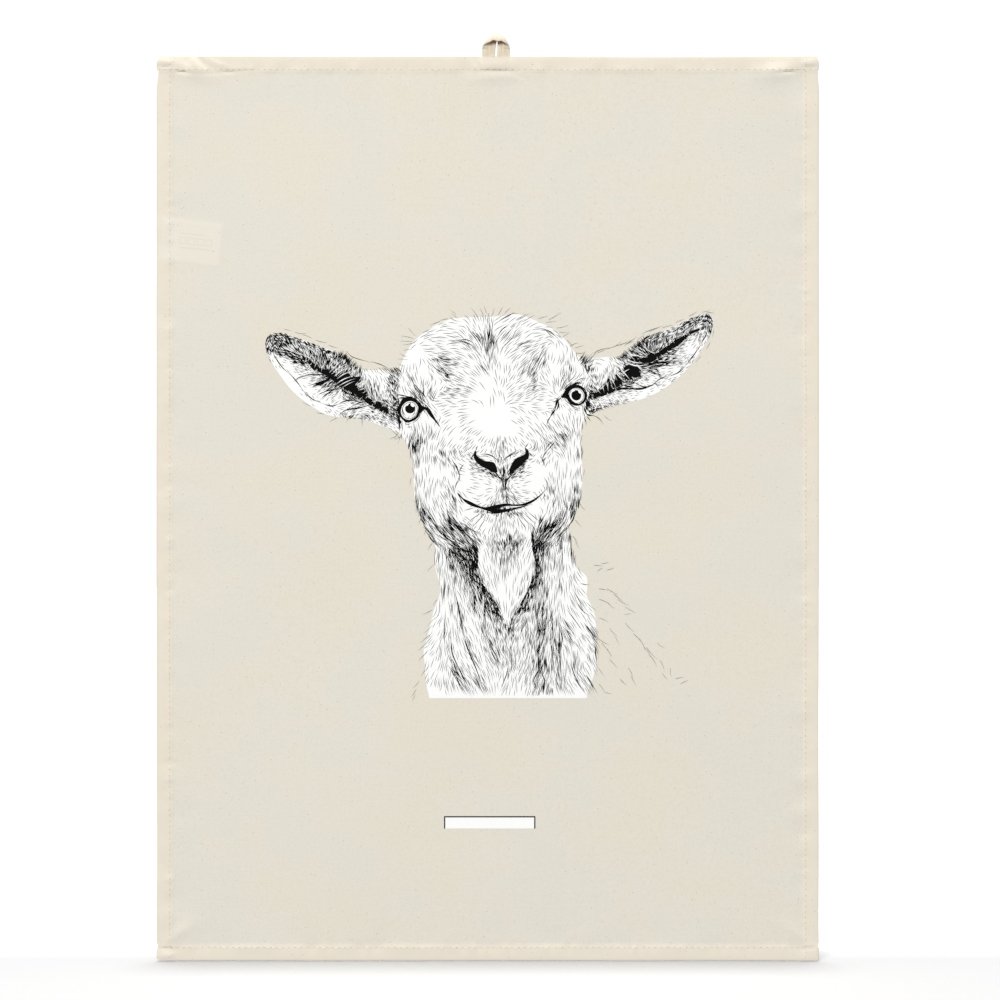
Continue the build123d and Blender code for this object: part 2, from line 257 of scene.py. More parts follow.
def tube_faces(count, rings, sides):
    """Faces of tubes that follow each other in one list: rings of points, capped at both ends."""
    faces = []
    for tube in range(count):
        first = tube * rings * sides
        for ring in range(rings - 1):
            here, after = first + ring * sides, first + (ring + 1) * sides
            for k in range(sides):
                n = (k + 1) % sides
                faces.append((here + k, here + n, after + n, after + k))
        faces.append(tuple(first + k for k in reversed(range(sides))))
        last = first + (rings - 1) * sides
        faces.append(tuple(last + k for k in range(sides)))
    return faces


def across_fold(piece):
    """The piece keeps its place, baked into its points."""
    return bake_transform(piece)


# ---- Materials ----

SPECULAR, INK_SPECULAR = 0.25, 0.06
SHEEN_ROUGHNESS = 0.5
NOISE_ROUGHNESS = 0.55


class Material:
    """A material and short ways to add nodes to it."""

    def __init__(self, name, roughness, sheen=0.0):
        self.material = bpy.data.materials.new(name)
        self.material.use_nodes = True
        self.nodes = self.material.node_tree.nodes
        self.links = self.material.node_tree.links
        self.shader = self.nodes["Principled BSDF"]
        self.shader.inputs["Roughness"].default_value = roughness
        self.shader.inputs["Specular IOR Level"].default_value = SPECULAR
        self.shader.inputs["Sheen Weight"].default_value = sheen
        self.shader.inputs["Sheen Roughness"].default_value = SHEEN_ROUGHNESS
        self.rest = self.attribute("rest", "Vector")
        self.parts = None

    def put(self, value, socket):
        if isinstance(value, bpy.types.NodeSocket):
            self.links.new(value, socket)
        elif value is not None:
            socket.default_value = value

    def attribute(self, name, output="Fac"):
        node = self.nodes.new("ShaderNodeAttribute")
        node.attribute_name = name
        return node.outputs[output]

    def math(self, operation, *values):
        node = self.nodes.new("ShaderNodeMath")
        node.operation = operation
        for value, socket in zip(values, node.inputs):
            self.put(value, socket)
        return node.outputs[0]

    def ramp(self, value, low, high, start=0.0, end=1.0):
        node = self.nodes.new("ShaderNodeMapRange")
        node.interpolation_type = "SMOOTHSTEP"
        for given, key in zip((value, low, high, start, end), range(5)):
            self.put(given, node.inputs[key])
        return node.outputs[0]

    def scaled(self, scale, turn=0.0):
        node = self.nodes.new("ShaderNodeMapping")
        self.put(self.rest, node.inputs["Vector"])
        node.inputs["Scale"].default_value = scale
        node.inputs["Rotation"].default_value = (0, radians(turn), 0)
        return node.outputs[0]

    def noise(self, scale, turn=0.0, detail=3.0):
        node = self.nodes.new("ShaderNodeTexNoise")
        self.put(self.scaled(scale, turn), node.inputs["Vector"])
        node.inputs["Scale"].default_value = 1.0
        node.inputs["Detail"].default_value = detail
        node.inputs["Roughness"].default_value = NOISE_ROUGHNESS
        return node.outputs["Fac"]

    def cells(self, scale):
        node = self.nodes.new("ShaderNodeTexVoronoi")
        self.put(self.scaled((scale, scale, scale)), node.inputs["Vector"])
        node.inputs["Scale"].default_value = 1.0
        return node.outputs["Distance"], node.outputs["Color"]

    def mix(self, factor, first, second):
        node = self.nodes.new("ShaderNodeMix")
        node.data_type = "RGBA"
        self.put(factor, node.inputs["Factor"])
        self.put(first, node.inputs["A"])
        self.put(second, node.inputs["B"])
        return node.outputs["Result"]

    def axis(self, name):
        if self.parts is None:
            node = self.nodes.new("ShaderNodeSeparateXYZ")
            self.put(self.rest, node.inputs[0])
            self.parts = node.outputs
        return self.parts[name]

    def weave(self):
        """Plain weave: threads of two directions that pass over and under each other."""
        node = self.nodes.new("ShaderNodeSeparateXYZ")
        turns = pi / WEAVE_PITCH
        self.put(self.scaled((turns, turns, turns)), node.inputs[0])
        warp = self.math("SINE", node.outputs["X"])
        weft = self.math("SINE", node.outputs["Z"])
        return self.math("MULTIPLY", warp, weft)

    def bump(self, height, strength, distance):
        node = self.nodes.new("ShaderNodeBump")
        self.put(height, node.inputs["Height"])
        node.inputs["Strength"].default_value = strength
        node.inputs["Distance"].default_value = distance * MM
        self.put(node.outputs[0], self.shader.inputs["Normal"])

    def colour(self, value):
        self.put(value, self.shader.inputs["Base Color"])
        return self.material


def rgb(red, green, blue):
    """Colour as displayed, 0 to 255, as the shader's linear colour."""

    def linear(value):
        share = value / 255
        return share / 12.92 if share <= 0.04045 else ((share + 0.055) / 1.055) ** 2.4

    return (linear(red), linear(green), linear(blue), 1.0)


CLOTH_COOL = rgb(220, 217, 206)
CLOTH_WARM = rgb(223, 217, 203)
COTTON_LIGHT = rgb(224, 220, 208)
COTTON_DUSK = rgb(188, 176, 150)
COTTON_GAP_SHADE = rgb(170, 158, 130)
HEM_COLOUR = rgb(224, 215, 199)
EDGE_PAINTED_SHADE = rgb(205, 193, 168)
SEAM_GROOVE_SHADE = rgb(190, 168, 130)
LABEL_THROUGH, LABEL_STRENGTH = rgb(223, 218, 205), 0.85
MARKS_THROUGH, MARKS_STRENGTH = rgb(170, 165, 150), 0.16
SYMBOL_SHOWS = 2.3  # half the side of a symbol as it shows through
SPECK_BROWN = rgb(150, 118, 78)
THREAD_PALE = rgb(231, 223, 207)
THREAD_SHADE = rgb(196, 180, 150)
THREAD_HOLE_SHADE = rgb(146, 112, 70)
TAPE_PALE, TAPE_DARK = rgb(222, 210, 189), rgb(207, 192, 166)
TAPE_FIBRE, TAPE_EDGE = rgb(228, 219, 201), rgb(226, 224, 212)
TAPE_BEND_SHADE = rgb(186, 132, 84)
TAPE_TWILL, RIBBON_RIB = 0.9, 0.35  # pitch of the ribs
RIBBON_PALE, RIBBON_DARK, RIBBON_EDGE = rgb(236, 234, 227), rgb(228, 225, 216), rgb(208, 203, 190)
WEAVE_PITCH = 0.62


def add_specks(m, colour, cell, share, size, strength):
    """Small brown bits of seed husk, one in some of the cells."""
    distance, random = m.cells(1 / cell)
    chosen = m.math("GREATER_THAN", random, 1 - share)
    spot = m.ramp(distance, size * 0.5, size, strength, 0.0)
    return m.mix(m.math("MULTIPLY", chosen, spot), colour, SPECK_BROWN)


def cotton(name, first, second):
    """Unbleached cotton: colour that varies in patches and along single threads, with painted shade in
    the hollows of the weave.
    """
    m = Material(name, roughness=0.93, sheen=0.12)
    patches = m.ramp(m.noise((0.012, 0.05, 0.016), detail=4), 0.35, 0.65)
    colour = m.mix(patches, first, second)
    weft = m.ramp(m.noise((0.035, 1.0, 1.5), turn=4, detail=2), 0.35, 0.68)
    warp = m.ramp(m.noise((1.5, 1.0, 0.03), turn=4, detail=2), 0.35, 0.68)
    threads = m.math("ADD", m.math("MULTIPLY", weft, 0.5), m.math("MULTIPLY", warp, 0.4))
    colour = m.mix(m.math("MULTIPLY", threads, 0.40), colour, COTTON_LIGHT)
    mottle = m.ramp(m.noise((0.55, 0.55, 0.55), detail=3), 0.40, 0.75, 0.0, 0.14)
    colour = m.mix(mottle, colour, COTTON_DUSK)
    weave = m.weave()
    # painted shade: the cloth is darker where the weave is low, between the threads
    gaps = m.ramp(weave, -0.5, 1.0, 0.10, 0.0)
    colour = m.mix(gaps, colour, COTTON_GAP_SHADE)
    height = m.math("ADD", m.math("MULTIPLY", weave, 0.5), m.math("MULTIPLY", threads, 0.6))
    m.bump(height, 0.35, 0.12)
    return m, colour


def towel_cloth_material():
    """The cloth's cotton: hems warmer, painted shade along the outer edge and in the seams, label
    showing, specks.
    """
    m, colour = cotton("towel_cotton", CLOTH_COOL, CLOTH_WARM)
    right = m.math("ABSOLUTE", m.math("SUBTRACT", m.axis("X"), MIDDLE))
    side = m.math("SUBTRACT", HALF_WIDTH, right)
    end = m.math("MINIMUM", m.math("SUBTRACT", TOP, m.axis("Z")),
                 m.math("SUBTRACT", m.axis("Z"), TOP - HEIGHT))
    edge = m.math("MINIMUM", side, end)
    hem = m.ramp(edge, TURN_EDGE - 0.5, TURN_EDGE + 0.7, 0.85, 0.0)
    colour = m.mix(hem, colour, HEM_COLOUR)
    # painted shade where the cloth turns round the towel's edge
    fold = m.ramp(edge, 0.2, 1.4, 0.25, 0.0)
    colour = m.mix(fold, colour, EDGE_PAINTED_SHADE)
    from_seam = m.math("ABSOLUTE", m.math("SUBTRACT", edge, SEAM_INSET))
    # painted shade in the groove that the stitches pull into the cloth
    groove = m.ramp(from_seam, 0.3, 1.0, 0.03, 0.0)
    colour = m.mix(groove, colour, SEAM_GROOVE_SHADE)
    colour = show_label_through(m, colour)
    colour = add_specks(m, colour, cell=5.5, share=0.75, size=0.075, strength=0.62)
    colour = add_specks(m, colour, cell=3.4, share=0.16, size=0.10, strength=0.30)
    return m.colour(colour)


def show_label_through(m, colour):
    """The label behind the cloth makes it lighter, and its print shows as faint darker marks."""
    node = m.nodes.new("ShaderNodeVectorRotate")
    node.rotation_type = "Y_AXIS"
    m.put(m.rest, node.inputs["Vector"])
    node.inputs["Center"].default_value = (MIDDLE + LABEL_MIDDLE[0], 0, TOP - LABEL_MIDDLE[1])
    node.inputs["Angle"].default_value = -radians(LABEL_TILT)
    parts = m.nodes.new("ShaderNodeSeparateXYZ")
    m.put(node.outputs[0], parts.inputs[0])
    along = m.math("SUBTRACT", parts.outputs["X"], MIDDLE + LABEL_MIDDLE[0])
    above = m.math("SUBTRACT", parts.outputs["Z"], TOP - LABEL_MIDDLE[1])

    def inside(value, middle, half, soft):
        distance = m.math("ABSOLUTE", m.math("SUBTRACT", value, middle))
        return m.ramp(distance, half - soft, half + soft, 1.0, 0.0)

    area = m.math("MULTIPLY", inside(along, 0, LABEL_LENGTH / 2, 0.9),
                  inside(above, 0, LABEL_HEIGHT / 2, 0.9))
    colour = m.mix(m.math("MULTIPLY", area, LABEL_STRENGTH), colour, LABEL_THROUGH)
    bars = [
        m.math("MULTIPLY", inside(along, MARKS_LEFT + length / 2, length / 2, 1.5),
               inside(above, -across, 0.5, 0.7))
        for across, length in LABEL_ROWS
    ]
    marks = m.math("MAXIMUM", *bars)
    for number in range(4):
        middle = MARKS_LEFT + SYMBOL_SIZE / 2 + number * SYMBOL_PITCH
        shape = m.math("MAXIMUM", m.math("ABSOLUTE", m.math("SUBTRACT", along, middle)),
                       m.math("ABSOLUTE", above))
        distance = m.math("ABSOLUTE", m.math("SUBTRACT", shape, SYMBOL_SHOWS))
        marks = m.math("MAXIMUM", marks, m.ramp(distance, 0.1, 0.8, 0.8, 0.0))
    return m.mix(m.math("MULTIPLY", marks, MARKS_STRENGTH), colour, MARKS_THROUGH)


def hem_material():
    """The turned cotton on the back."""
    m, colour = cotton("hem_cotton", HEM_COLOUR, CLOTH_WARM)
    colour = add_specks(m, colour, cell=7.0, share=0.3, size=0.06, strength=0.6)
    return m.colour(colour)


def thread_material():
    """Pale twisted thread, with brown painted shade where it goes down its hole."""
    m = Material("sewing_cotton", roughness=0.7, sheen=0.2)
    # painted shade: the thread darkens to brown near its ends, where it dives into the needle hole
    sunk = m.ramp(m.attribute("sunk"), 0.45, 0.80)
    twist = m.noise((2.6, 2.6, 2.6), detail=2)
    pale = m.mix(m.ramp(twist, 0.3, 0.7, 0.0, 0.22), THREAD_PALE, THREAD_SHADE)
    m.bump(m.noise((5, 5, 5), detail=2), 0.4, 0.08)
    return m.colour(m.mix(sunk, pale, THREAD_HOLE_SHADE))


def tape_material():
    """Twill tape with pale selvedges, and a deep warm painted shade inside its bend."""
    m = Material("twill_tape", roughness=0.9, sheen=0.15)
    streaks = m.noise((1.4, 0.5, 0.09), detail=4)
    colour = m.mix(m.ramp(streaks, 0.32, 0.68), TAPE_PALE, TAPE_DARK)
    fine = m.ramp(m.noise((3.5, 1.0, 1.2), detail=3), 0.4, 0.7, 0.0, 0.35)
    colour = m.mix(fine, colour, TAPE_FIBRE)
    edge = m.ramp(m.attribute("edge"), 0.72, 1.0, 0.0, 0.55)
    colour = m.mix(edge, colour, TAPE_EDGE)
    # painted shade on the legs under the hood
    deep = m.ramp(m.attribute("deep"), 0.1, 1.0, 0.0, 0.85)
    colour = m.mix(deep, colour, TAPE_BEND_SHADE)
    slope = m.math("ADD", m.axis("X"), m.axis("Z"))
    rows = m.math("SINE", m.math("MULTIPLY", slope, 2 * pi / TAPE_TWILL))
    m.bump(m.math("ADD", m.math("MULTIPLY", rows, 0.3), streaks), 0.5, 0.16)
    return m.colour(colour)


def label_material():
    """Smooth ribbon with fine ribs."""
    m = Material("satin_ribbon", roughness=0.42, sheen=0.1)
    rows = m.math("SINE", m.math("MULTIPLY", m.axis("Z"), 2 * pi / RIBBON_RIB))
    cloudy = m.ramp(m.noise((0.12, 1, 0.3), detail=4), 0.35, 0.7)
    colour = m.mix(cloudy, RIBBON_PALE, RIBBON_DARK)
    selvedge = m.ramp(m.attribute("edge"), 0.9, 1.0, 0.0, 0.5)
    colour = m.mix(selvedge, colour, RIBBON_EDGE)
    m.bump(m.math("ADD", rows, m.noise((1.5, 1, 4), detail=2)), 0.25, 0.05)
    return m.colour(colour)


def ink_material(name, colour, worn, worn_share, roughness):
    """Screen-print ink: it lies in the weave, and is a little thinner on the top of the threads."""
    m = Material(name, roughness=roughness)
    thin = m.ramp(m.noise((1.3, 1.3, 1.3), detail=4), 0.45, 0.80, 0.0, worn_share)
    weave = m.weave()
    tops = m.ramp(weave, 0.2, 1.0, 0.0, worn_share * 0.5)
    shade = m.mix(m.math("MAXIMUM", thin, tops), colour, worn)
    m.bump(m.math("ADD", weave, m.noise((2, 2, 2))), 0.25, 0.08)
    return m.colour(shade)


COTTON = towel_cloth_material()
HEM_COTTON = hem_material()
THREAD = thread_material()
TAPE = tape_material()
RIBBON = label_material()
WHITE_INK = ink_material("white_print", rgb(244, 244, 243), rgb(232, 229, 220), 0.25, 0.75)
BLACK_INK = ink_material("black_print", rgb(6, 6, 7), rgb(44, 43, 42), 0.35, 0.8)
BLACK_SHADER = BLACK_INK.node_tree.nodes["Principled BSDF"]
BLACK_SHADER.inputs["Specular IOR Level"].default_value = INK_SPECULAR
LABEL_INK = ink_material("label_print", rgb(74, 74, 80), rgb(130, 130, 134), 0.4, 0.6)

# ---- Cloth: one thin sheet, with finer cells along its hems and its fold ----

COARSE = 4  # steps in a coarse cell's side
COLUMNS, ROWS = 96 * COARSE, 132 * COARSE
STEP_U, STEP_DOWN = WIDTH / COLUMNS, HEIGHT / ROWS


def cell_size(column, row, size):
    """Steps wanted for a cell's side, by what is near it."""
    u = (column + size / 2) * STEP_U - HALF_WIDTH
    down = (row + size / 2) * STEP_DOWN
    edge = min(HALF_WIDTH - abs(u), down, HEIGHT - down)
    fold = abs(down - FOLD_DOWN)
    if edge < 17 or fold < 14:
        return 1
    along, across = in_label(u, down)
    near_label = abs(along) < LABEL_LENGTH / 2 + 3 and abs(across) < LABEL_HEIGHT / 2 + 3
    if edge < 27 or fold < 20 or near_label:
        return 2
    return COARSE


def graded_cells():
    """Square cells (column, row, side) that cover the sheet, in steps."""
    waiting = [(i, j, COARSE) for i in range(0, COLUMNS, COARSE) for j in range(0, ROWS, COARSE)]
    cells = []
    while waiting:
        column, row, size = waiting.pop()
        if size <= cell_size(column, row, size):
            cells.append((column, row, size))
            continue
        half = size // 2
        waiting += [(column + i, row + j, half) for i in (0, half) for j in (0, half)]
    return cells


def make_cloth():
    """The towel's cloth, closed round its edge."""
    cells = graded_cells()
    corners = sorted({(c + i, r + j) for c, r, size in cells for i in (0, size) for j in (0, size)})
    index = {corner: number for number, corner in enumerate(corners)}
    count = len(corners)
    faces = []
    for column, row, size in cells:
        steps = range(size)
        walk = [(column + k, row + size) for k in steps]
        walk += [(column + size, row + size - k) for k in steps]
        walk += [(column + size - k, row) for k in steps]
        walk += [(column, row + k) for k in steps]
        ring = [index[spot] for spot in walk if spot in index]
        faces.append(tuple(ring))
        faces.append(tuple(number + count for number in reversed(ring)))
    rim = [(k, ROWS) for k in range(COLUMNS)] + [(COLUMNS, ROWS - k) for k in range(ROWS)]
    rim += [(COLUMNS - k, 0) for k in range(COLUMNS)] + [(0, k) for k in range(ROWS)]
    rim = [index[spot] for spot in rim if spot in index]
    for here, after in zip(rim, rim[1:] + rim[:1]):
        faces.append((after, here, here + count, after + count))
    flat = np.array(corners) * (STEP_U, STEP_DOWN) - (HALF_WIDTH, 0)
    front = surface(flat)
    back = surface(flat, -CLOTH_THICKNESS)
    piece = make_piece("towel_cloth", np.concatenate((front, back)), faces, COTTON)
    piece.data.set_sharp_from_angle(angle=SHARP_EDGE)
    return piece


cloth = across_fold(make_cloth())
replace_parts(cloth, "cloth_upper", "cloth_lower")

# ---- Hems: the cloth's edges turned twice to the back ----

# Outline of a hem's section: distance from the towel's edge and depth behind the cloth's front
HEM_BACK = CLOTH_THICKNESS + HEM_THICKNESS
HEM_SECTION = (
    (0.10, 0.16), (-0.22, 0.42), (-0.26, 0.72), (-0.05, 1.02), (0.45, HEM_BACK - 0.02),
    (2.4, HEM_BACK + 0.10), (5.2, HEM_BACK + 0.12), (8.2, HEM_BACK + 0.02),
    (SEAM_INSET, HEM_BACK - 0.22), (10.3, HEM_BACK - 0.10), (HEM_WIDTH, 0.86),
    (HEM_WIDTH - 0.2, 0.52), (SEAM_INSET, 0.30), (5.0, 0.30),
)


FINE_RUN, COARSE_RUN = 1.3, 3.9  # lengths of the hem's and the print's cells, near and far from bends


def stations(low, high):
    """Levels from low to high, closer together near both ends and near the fold."""
    levels = [low]
    while levels[-1] < high:
        here = levels[-1]
        near = min(here - low, high - here) < 16 or abs(here - FOLD_DOWN) < 15
        levels.append(here + (FINE_RUN if near else COARSE_RUN))
    levels[-1] = high
    return np.array(levels)


HEM_TRIM = 0.3  # a hem ends this much short of the cloth's corner
LAP_DEPTH, LAP_LIFT = 0.92, 0.25  # of the hems that lie over others at the corners


def make_hem(name, edge):
    """A turned strip along one edge: left, right, top or bottom."""
    section = np.array(HEM_SECTION)
    upright = edge in ("left", "right")
    sign = -1 if edge in ("left", "top") else 1
    if upright:
        run = stations(HEM_TRIM, HEIGHT - HEM_TRIM)
    else:
        run = stations(HEM_TRIM - HALF_WIDTH, HALF_WIDTH - HEM_TRIM)
    along = np.repeat(run[:, None], len(section), axis=1)
    inset = np.repeat(section[None, :, 0], len(run), axis=0)
    depth = np.repeat(section[None, :, 1], len(run), axis=0)
    if upright:
        points = np.stack((sign * (HALF_WIDTH - inset), along), -1)
    else:
        lap = smooth_step(HALF_WIDTH - 17, HALF_WIDTH - 12, np.abs(along))
        behind = np.where(depth > CLOTH_THICKNESS, HEM_THICKNESS * LAP_DEPTH, LAP_LIFT)
        depth = depth + lap * behind
        points = np.stack((along, np.where(sign < 0, inset, HEIGHT - inset)), -1)
    placed = surface(points, -depth)
    faces = tube_faces(1, len(run), len(section))
    if edge in ("right", "top"):
        faces = [tuple(reversed(face)) for face in faces]
    return make_piece(name, placed.reshape(-1, 3), faces, HEM_COTTON)


for edge in ("left", "right"):
    hem = across_fold(make_hem(f"towel_hem_{edge}", edge))
    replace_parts(hem, f"hem_{edge}_upper", f"hem_{edge}_lower")
for edge, body in (("top", "towel_upper"), ("bottom", "towel_lower")):
    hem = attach(make_hem(f"towel_hem_{edge}", edge), body)
    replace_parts(hem, f"hem_{edge}")

# ---- Seams: one stitch after another, sunk into the cloth at both ends ----

THREAD_RADIUS = 0.23
SIDE_STITCH, END_STITCH = 4.3, 4.7  # length of a stitch
STITCH_RINGS, STITCH_SIDES = 9, 6


def stitch_row(start, end, pitch, depth, seed, facing=1):
    """Stitch tubes from start to end: points, and how deep each one is sunk, 0 to 1."""
    start, end = np.array(start, float), np.array(end, float)
    length = np.linalg.norm(end - start)
    count = max(1, round(length / pitch))
    random = np.random.default_rng(seed)
    knots = np.linspace(0, 1, count + 1) + random.normal(0, 0.05, count + 1) / count
    across = np.array((start[1] - end[1], end[0] - start[0])) / length
    share = np.linspace(0, 1, STITCH_RINGS)
    # a stitch takes up 0.94 of the way from one hole to the next
    walk = knots[:-1, None] + (knots[1:] - knots[:-1])[:, None] * (0.03 + 0.94 * share)
    middle = start + (end - start) * walk[..., None]
    shift = random.normal(0, 0.10, (count, 1))
    slant = shift + (share - 0.5) * random.normal(0.25, 0.12, (count, 1))
    middle = middle + across * slant[..., None]
    arch = np.sin(pi * share) ** 0.6
    raised = depth + facing * (0.06 * arch - 0.05)
    girth = THREAD_RADIUS * (0.75 + 0.25 * arch)
    angles = np.arange(STITCH_SIDES) * 2 * pi / STITCH_SIDES
    sideways = (girth[:, None] * np.cos(angles))[None, :, :, None] * across
    flat = middle[:, :, None, :] + sideways
    lift = raised[:, None] + girth[:, None] * np.sin(angles) * 0.8
    placed = surface(flat, np.broadcast_to(lift, flat.shape[:-1]))
    # near each end of a stitch, where the material paints shade for the needle hole
    sunk = np.broadcast_to((np.abs(2 * share - 1) ** 2.2)[None, :, None], flat.shape[:-1])
    return placed.reshape(-1, 3), sunk.ravel(), count


def make_seam(name, rows):
    """One piece of thread from several rows of stitches."""
    made = [stitch_row(*row) for row in rows]
    points = np.concatenate([points for points, _, _ in made])
    sunk = np.concatenate([sunk for _, sunk, _ in made])
    count = sum(count for _, _, count in made)
    return make_piece(name, points, tube_faces(count, STITCH_RINGS, STITCH_SIDES), THREAD,
                      {"sunk": sunk})


BACK_THREAD = -(HEM_BACK + 0.02) + 0.2  # place of the back's stitches, in front of the cloth
SEAM_U = HALF_WIDTH - SEAM_INSET
SIDE_SEAM_START, END_SEAM_START = 2.0, 1.5  # from the towel's corner
for seed, (edge, line) in enumerate((("left", -SEAM_U), ("right", SEAM_U))):
    low, high = SIDE_SEAM_START, HEIGHT - SIDE_SEAM_START
    inner_low, inner_high = HEM_WIDTH + 1.0, HEIGHT - HEM_WIDTH - 1.0
    seam = make_seam(f"stitching_{edge}", (
        ((line, low), (line, high), SIDE_STITCH, 0.0, 100 + seed),
        ((line, inner_low), (line, inner_high), SIDE_STITCH, BACK_THREAD, 110 + seed, -1),
    ))
    across_fold(seam)
    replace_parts(seam, f"seam_{edge}_upper", f"seam_{edge}_lower")
TAILS_LOW, TAILS_HIGH = box_mm("hanging_loop_tails")
TAILS = (TAILS_LOW[0] - MIDDLE - 1.0, TAILS_HIGH[0] - MIDDLE + 1.0)
LAP_START = HALF_WIDTH - 14.0
for seed, (edge, line, body) in enumerate((("top", SEAM_INSET, "towel_upper"),
                                           ("bottom", HEIGHT - SEAM_INSET, "towel_lower"))):
    gaps = TAILS if edge == "top" else (0.0, 0.0)
    reach = HALF_WIDTH - END_SEAM_START
    seam = make_seam(f"stitching_{edge}", (
        ((-reach, line), (reach, line), END_STITCH, 0.0, 120 + seed),
        ((-LAP_START, line), (gaps[0], line), END_STITCH, BACK_THREAD, 130 + seed, -1),
        ((gaps[1], line), (LAP_START, line), END_STITCH, BACK_THREAD, 140 + seed, -1),
    ))
    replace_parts(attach(seam, body), f"seam_{edge}")
TACK_STITCH = 2.9
TACK_THREAD = 0.2 - (TAILS_HIGH[1] - FRONT)
left, right = TAILS
tacking = make_seam("loop_stitching", (
    ((left, SEAM_INSET), (right, SEAM_INSET), TACK_STITCH, TACK_THREAD, 150, -1),
    ((left, SEAM_INSET - 1.1), (right, SEAM_INSET - 1.5), TACK_STITCH, TACK_THREAD, 151, -1),
))
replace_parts(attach(tacking, "towel_upper"), "loop_tacking")

# ---- Hanging loop: one tape, whose legs lie side by side and whose bend leans forwards ----

LOOP_LOW, LOOP_HIGH = box_mm("hanging_loop")
TAPE_WIDTH = 9.8
TAPE_HALF = 0.4
TAPE_SLIT = LOOP_HIGH[0] - LOOP_LOW[0] - 2 * TAPE_WIDTH
LEG_TOP = 6.2  # above the towel's top edge, where the legs begin to turn into the bend
SLIT_RISE = 5.9  # the slit goes up this much further
CAP_RISE = 5.0  # the hood's front edge lies this much higher than the legs' top, in the middle
CAP_REACH = 4.6  # the hood's front edge comes this far forward
HOOD_HEIGHT = 5.0


def tape_edges():
    """Inner and outer edge of the tape, up one leg, round the bend and down the other."""
    heights = list(np.linspace(TAILS_LOW[2] - TOP, -0.6, 8)) + list(np.linspace(-0.3, 2.4, 10))
    heights += list(np.linspace(2.8, LEG_TOP, 6))
    angles = np.linspace(0, pi / 2, 23)[1:]
    edges = []
    for side in (-1, 1):
        half = []
        for height in heights:
            wide = 1.0 if height > 0 else 1.0 + 0.002 * height
            inner = np.array((side * TAPE_SLIT / 2, 0.0, height))
            outer = inner + (side * TAPE_WIDTH * wide, 0.0, 0.0)
            half.append((inner, outer))
        for angle in angles:
            turn, rise = cos(angle), sin(angle)
            inner = np.array((side * turn * TAPE_SLIT / 2, 0.0, LEG_TOP + rise * SLIT_RISE))
            along = side * turn * TAPE_WIDTH
            wave = 1.1 * bell(along + 2.4, 1.7) + 0.7 * bell(along - 3.4, 1.7)
            front = LEG_TOP + rise * CAP_RISE + rise * wave
            outer = np.array((side * turn * (TAPE_SLIT / 2 + TAPE_WIDTH), -rise * CAP_REACH, front))
            half.append((inner, outer))
        edges += half if side < 0 else list(reversed(half))[1:]
    return np.array(edges)


def make_loop():
    """Sweep of the tape's thin rounded section along its two edges. At the bend it is a hood."""
    edges = tape_edges()
    inner, outer = edges[:, 0], edges[:, 1]
    middle = (inner + outer) / 2
    rise = np.clip((inner[:, 2] - LEG_TOP) / SLIT_RISE, 0, 1)
    out = np.stack((np.sign(middle[:, 0]) * np.sqrt(1 - rise**2), 0 * rise, rise), 1)
    spread = 1.0 - 2 * np.array((0.0, 0.03, 0.12, 0.25, 0.38, 0.5, 0.62, 0.75, 0.88, 0.97, 1.0))
    sheet = middle[:, None] + (outer - inner)[:, None] * (spread[None, :, None] / 2)
    hood = HOOD_HEIGHT * rise[:, None] ** 0.85 * (1 - spread**2)
    above_hem = smooth_step(1, 5, inner[:, 2])[:, None]
    cup = 0.25 * np.clip(1 - rise, 0, 1)[:, None] * (1 - spread**2) * above_hem
    sheet = sheet + out[:, None] * hood[..., None]
    sheet[..., 1] -= cup
    normal = np.cross(np.gradient(sheet, axis=0), np.gradient(sheet, axis=1))
    normal /= np.linalg.norm(normal, axis=2)[..., None]
    thick = TAPE_HALF * np.where(np.abs(spread) == 1.0, 0.3, 1.0)[None, :, None]
    points = np.concatenate((sheet + normal * thick, (sheet - normal * thick)[:, ::-1]), 1)
    edge = np.abs(np.concatenate((spread, spread[::-1])))
    # painted shade: where the hood overhangs the legs, the tape is coloured darker and warmer
    shade = smooth_step(8.4, 11.4, points[..., 2]) * smooth_step(14.6, 13.0, points[..., 2])
    deep = shade * smooth_step(-2.6, -1.4, points[..., 1])
    # the legs lean a little to the right, the more the higher up
    lean = 0.10 * np.clip(points[..., 2], 0, 12) - 0.3
    points[..., 0] += lean * np.clip(1 - np.abs(points[..., 0]) / 10.5, 0, 1)
    points[..., 2] += TOP
    floats = {"edge": np.broadcast_to(edge, deep.shape).ravel(), "deep": deep.ravel()}
    faces = tube_faces(1, len(middle), len(edge))
    return make_piece("loop_tape", points.reshape(-1, 3), faces, TAPE, floats)


loop = make_loop()
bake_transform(loop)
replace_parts(loop, "hanging_loop", "hanging_loop_tails")

# ---- Care label on the back, caught by the left seam ----

LABEL_LAYER_LOW, LABEL_LAYER_HIGH = box_mm("care_label")
LABEL_BACK = LABEL_LAYER_HIGH[1]
LABEL_THICKNESS = LABEL_LAYER_HIGH[1] - LABEL_LAYER_LOW[1]


def label_surface(points, raised=0.0):
    """Points (along, across) from the label's middle, as (x, y, z), raised behind its back."""
    along, across = points[..., 0], points[..., 1]
    turn = radians(LABEL_TILT)
    right = along * cos(turn) - across * sin(turn) + LABEL_MIDDLE[0]
    below = along * sin(turn) + across * cos(turn) + LABEL_MIDDLE[1]
    free = smooth_step(-LABEL_LENGTH / 2 + LABEL_MARGIN + 4, LABEL_LENGTH / 2, along)
    curl = 0.20 * free * np.sin(along * 0.16 + across * 0.05) - 0.25 * free
    return np.stack((MIDDLE + right, LABEL_BACK + curl + raised, TOP - below), -1)


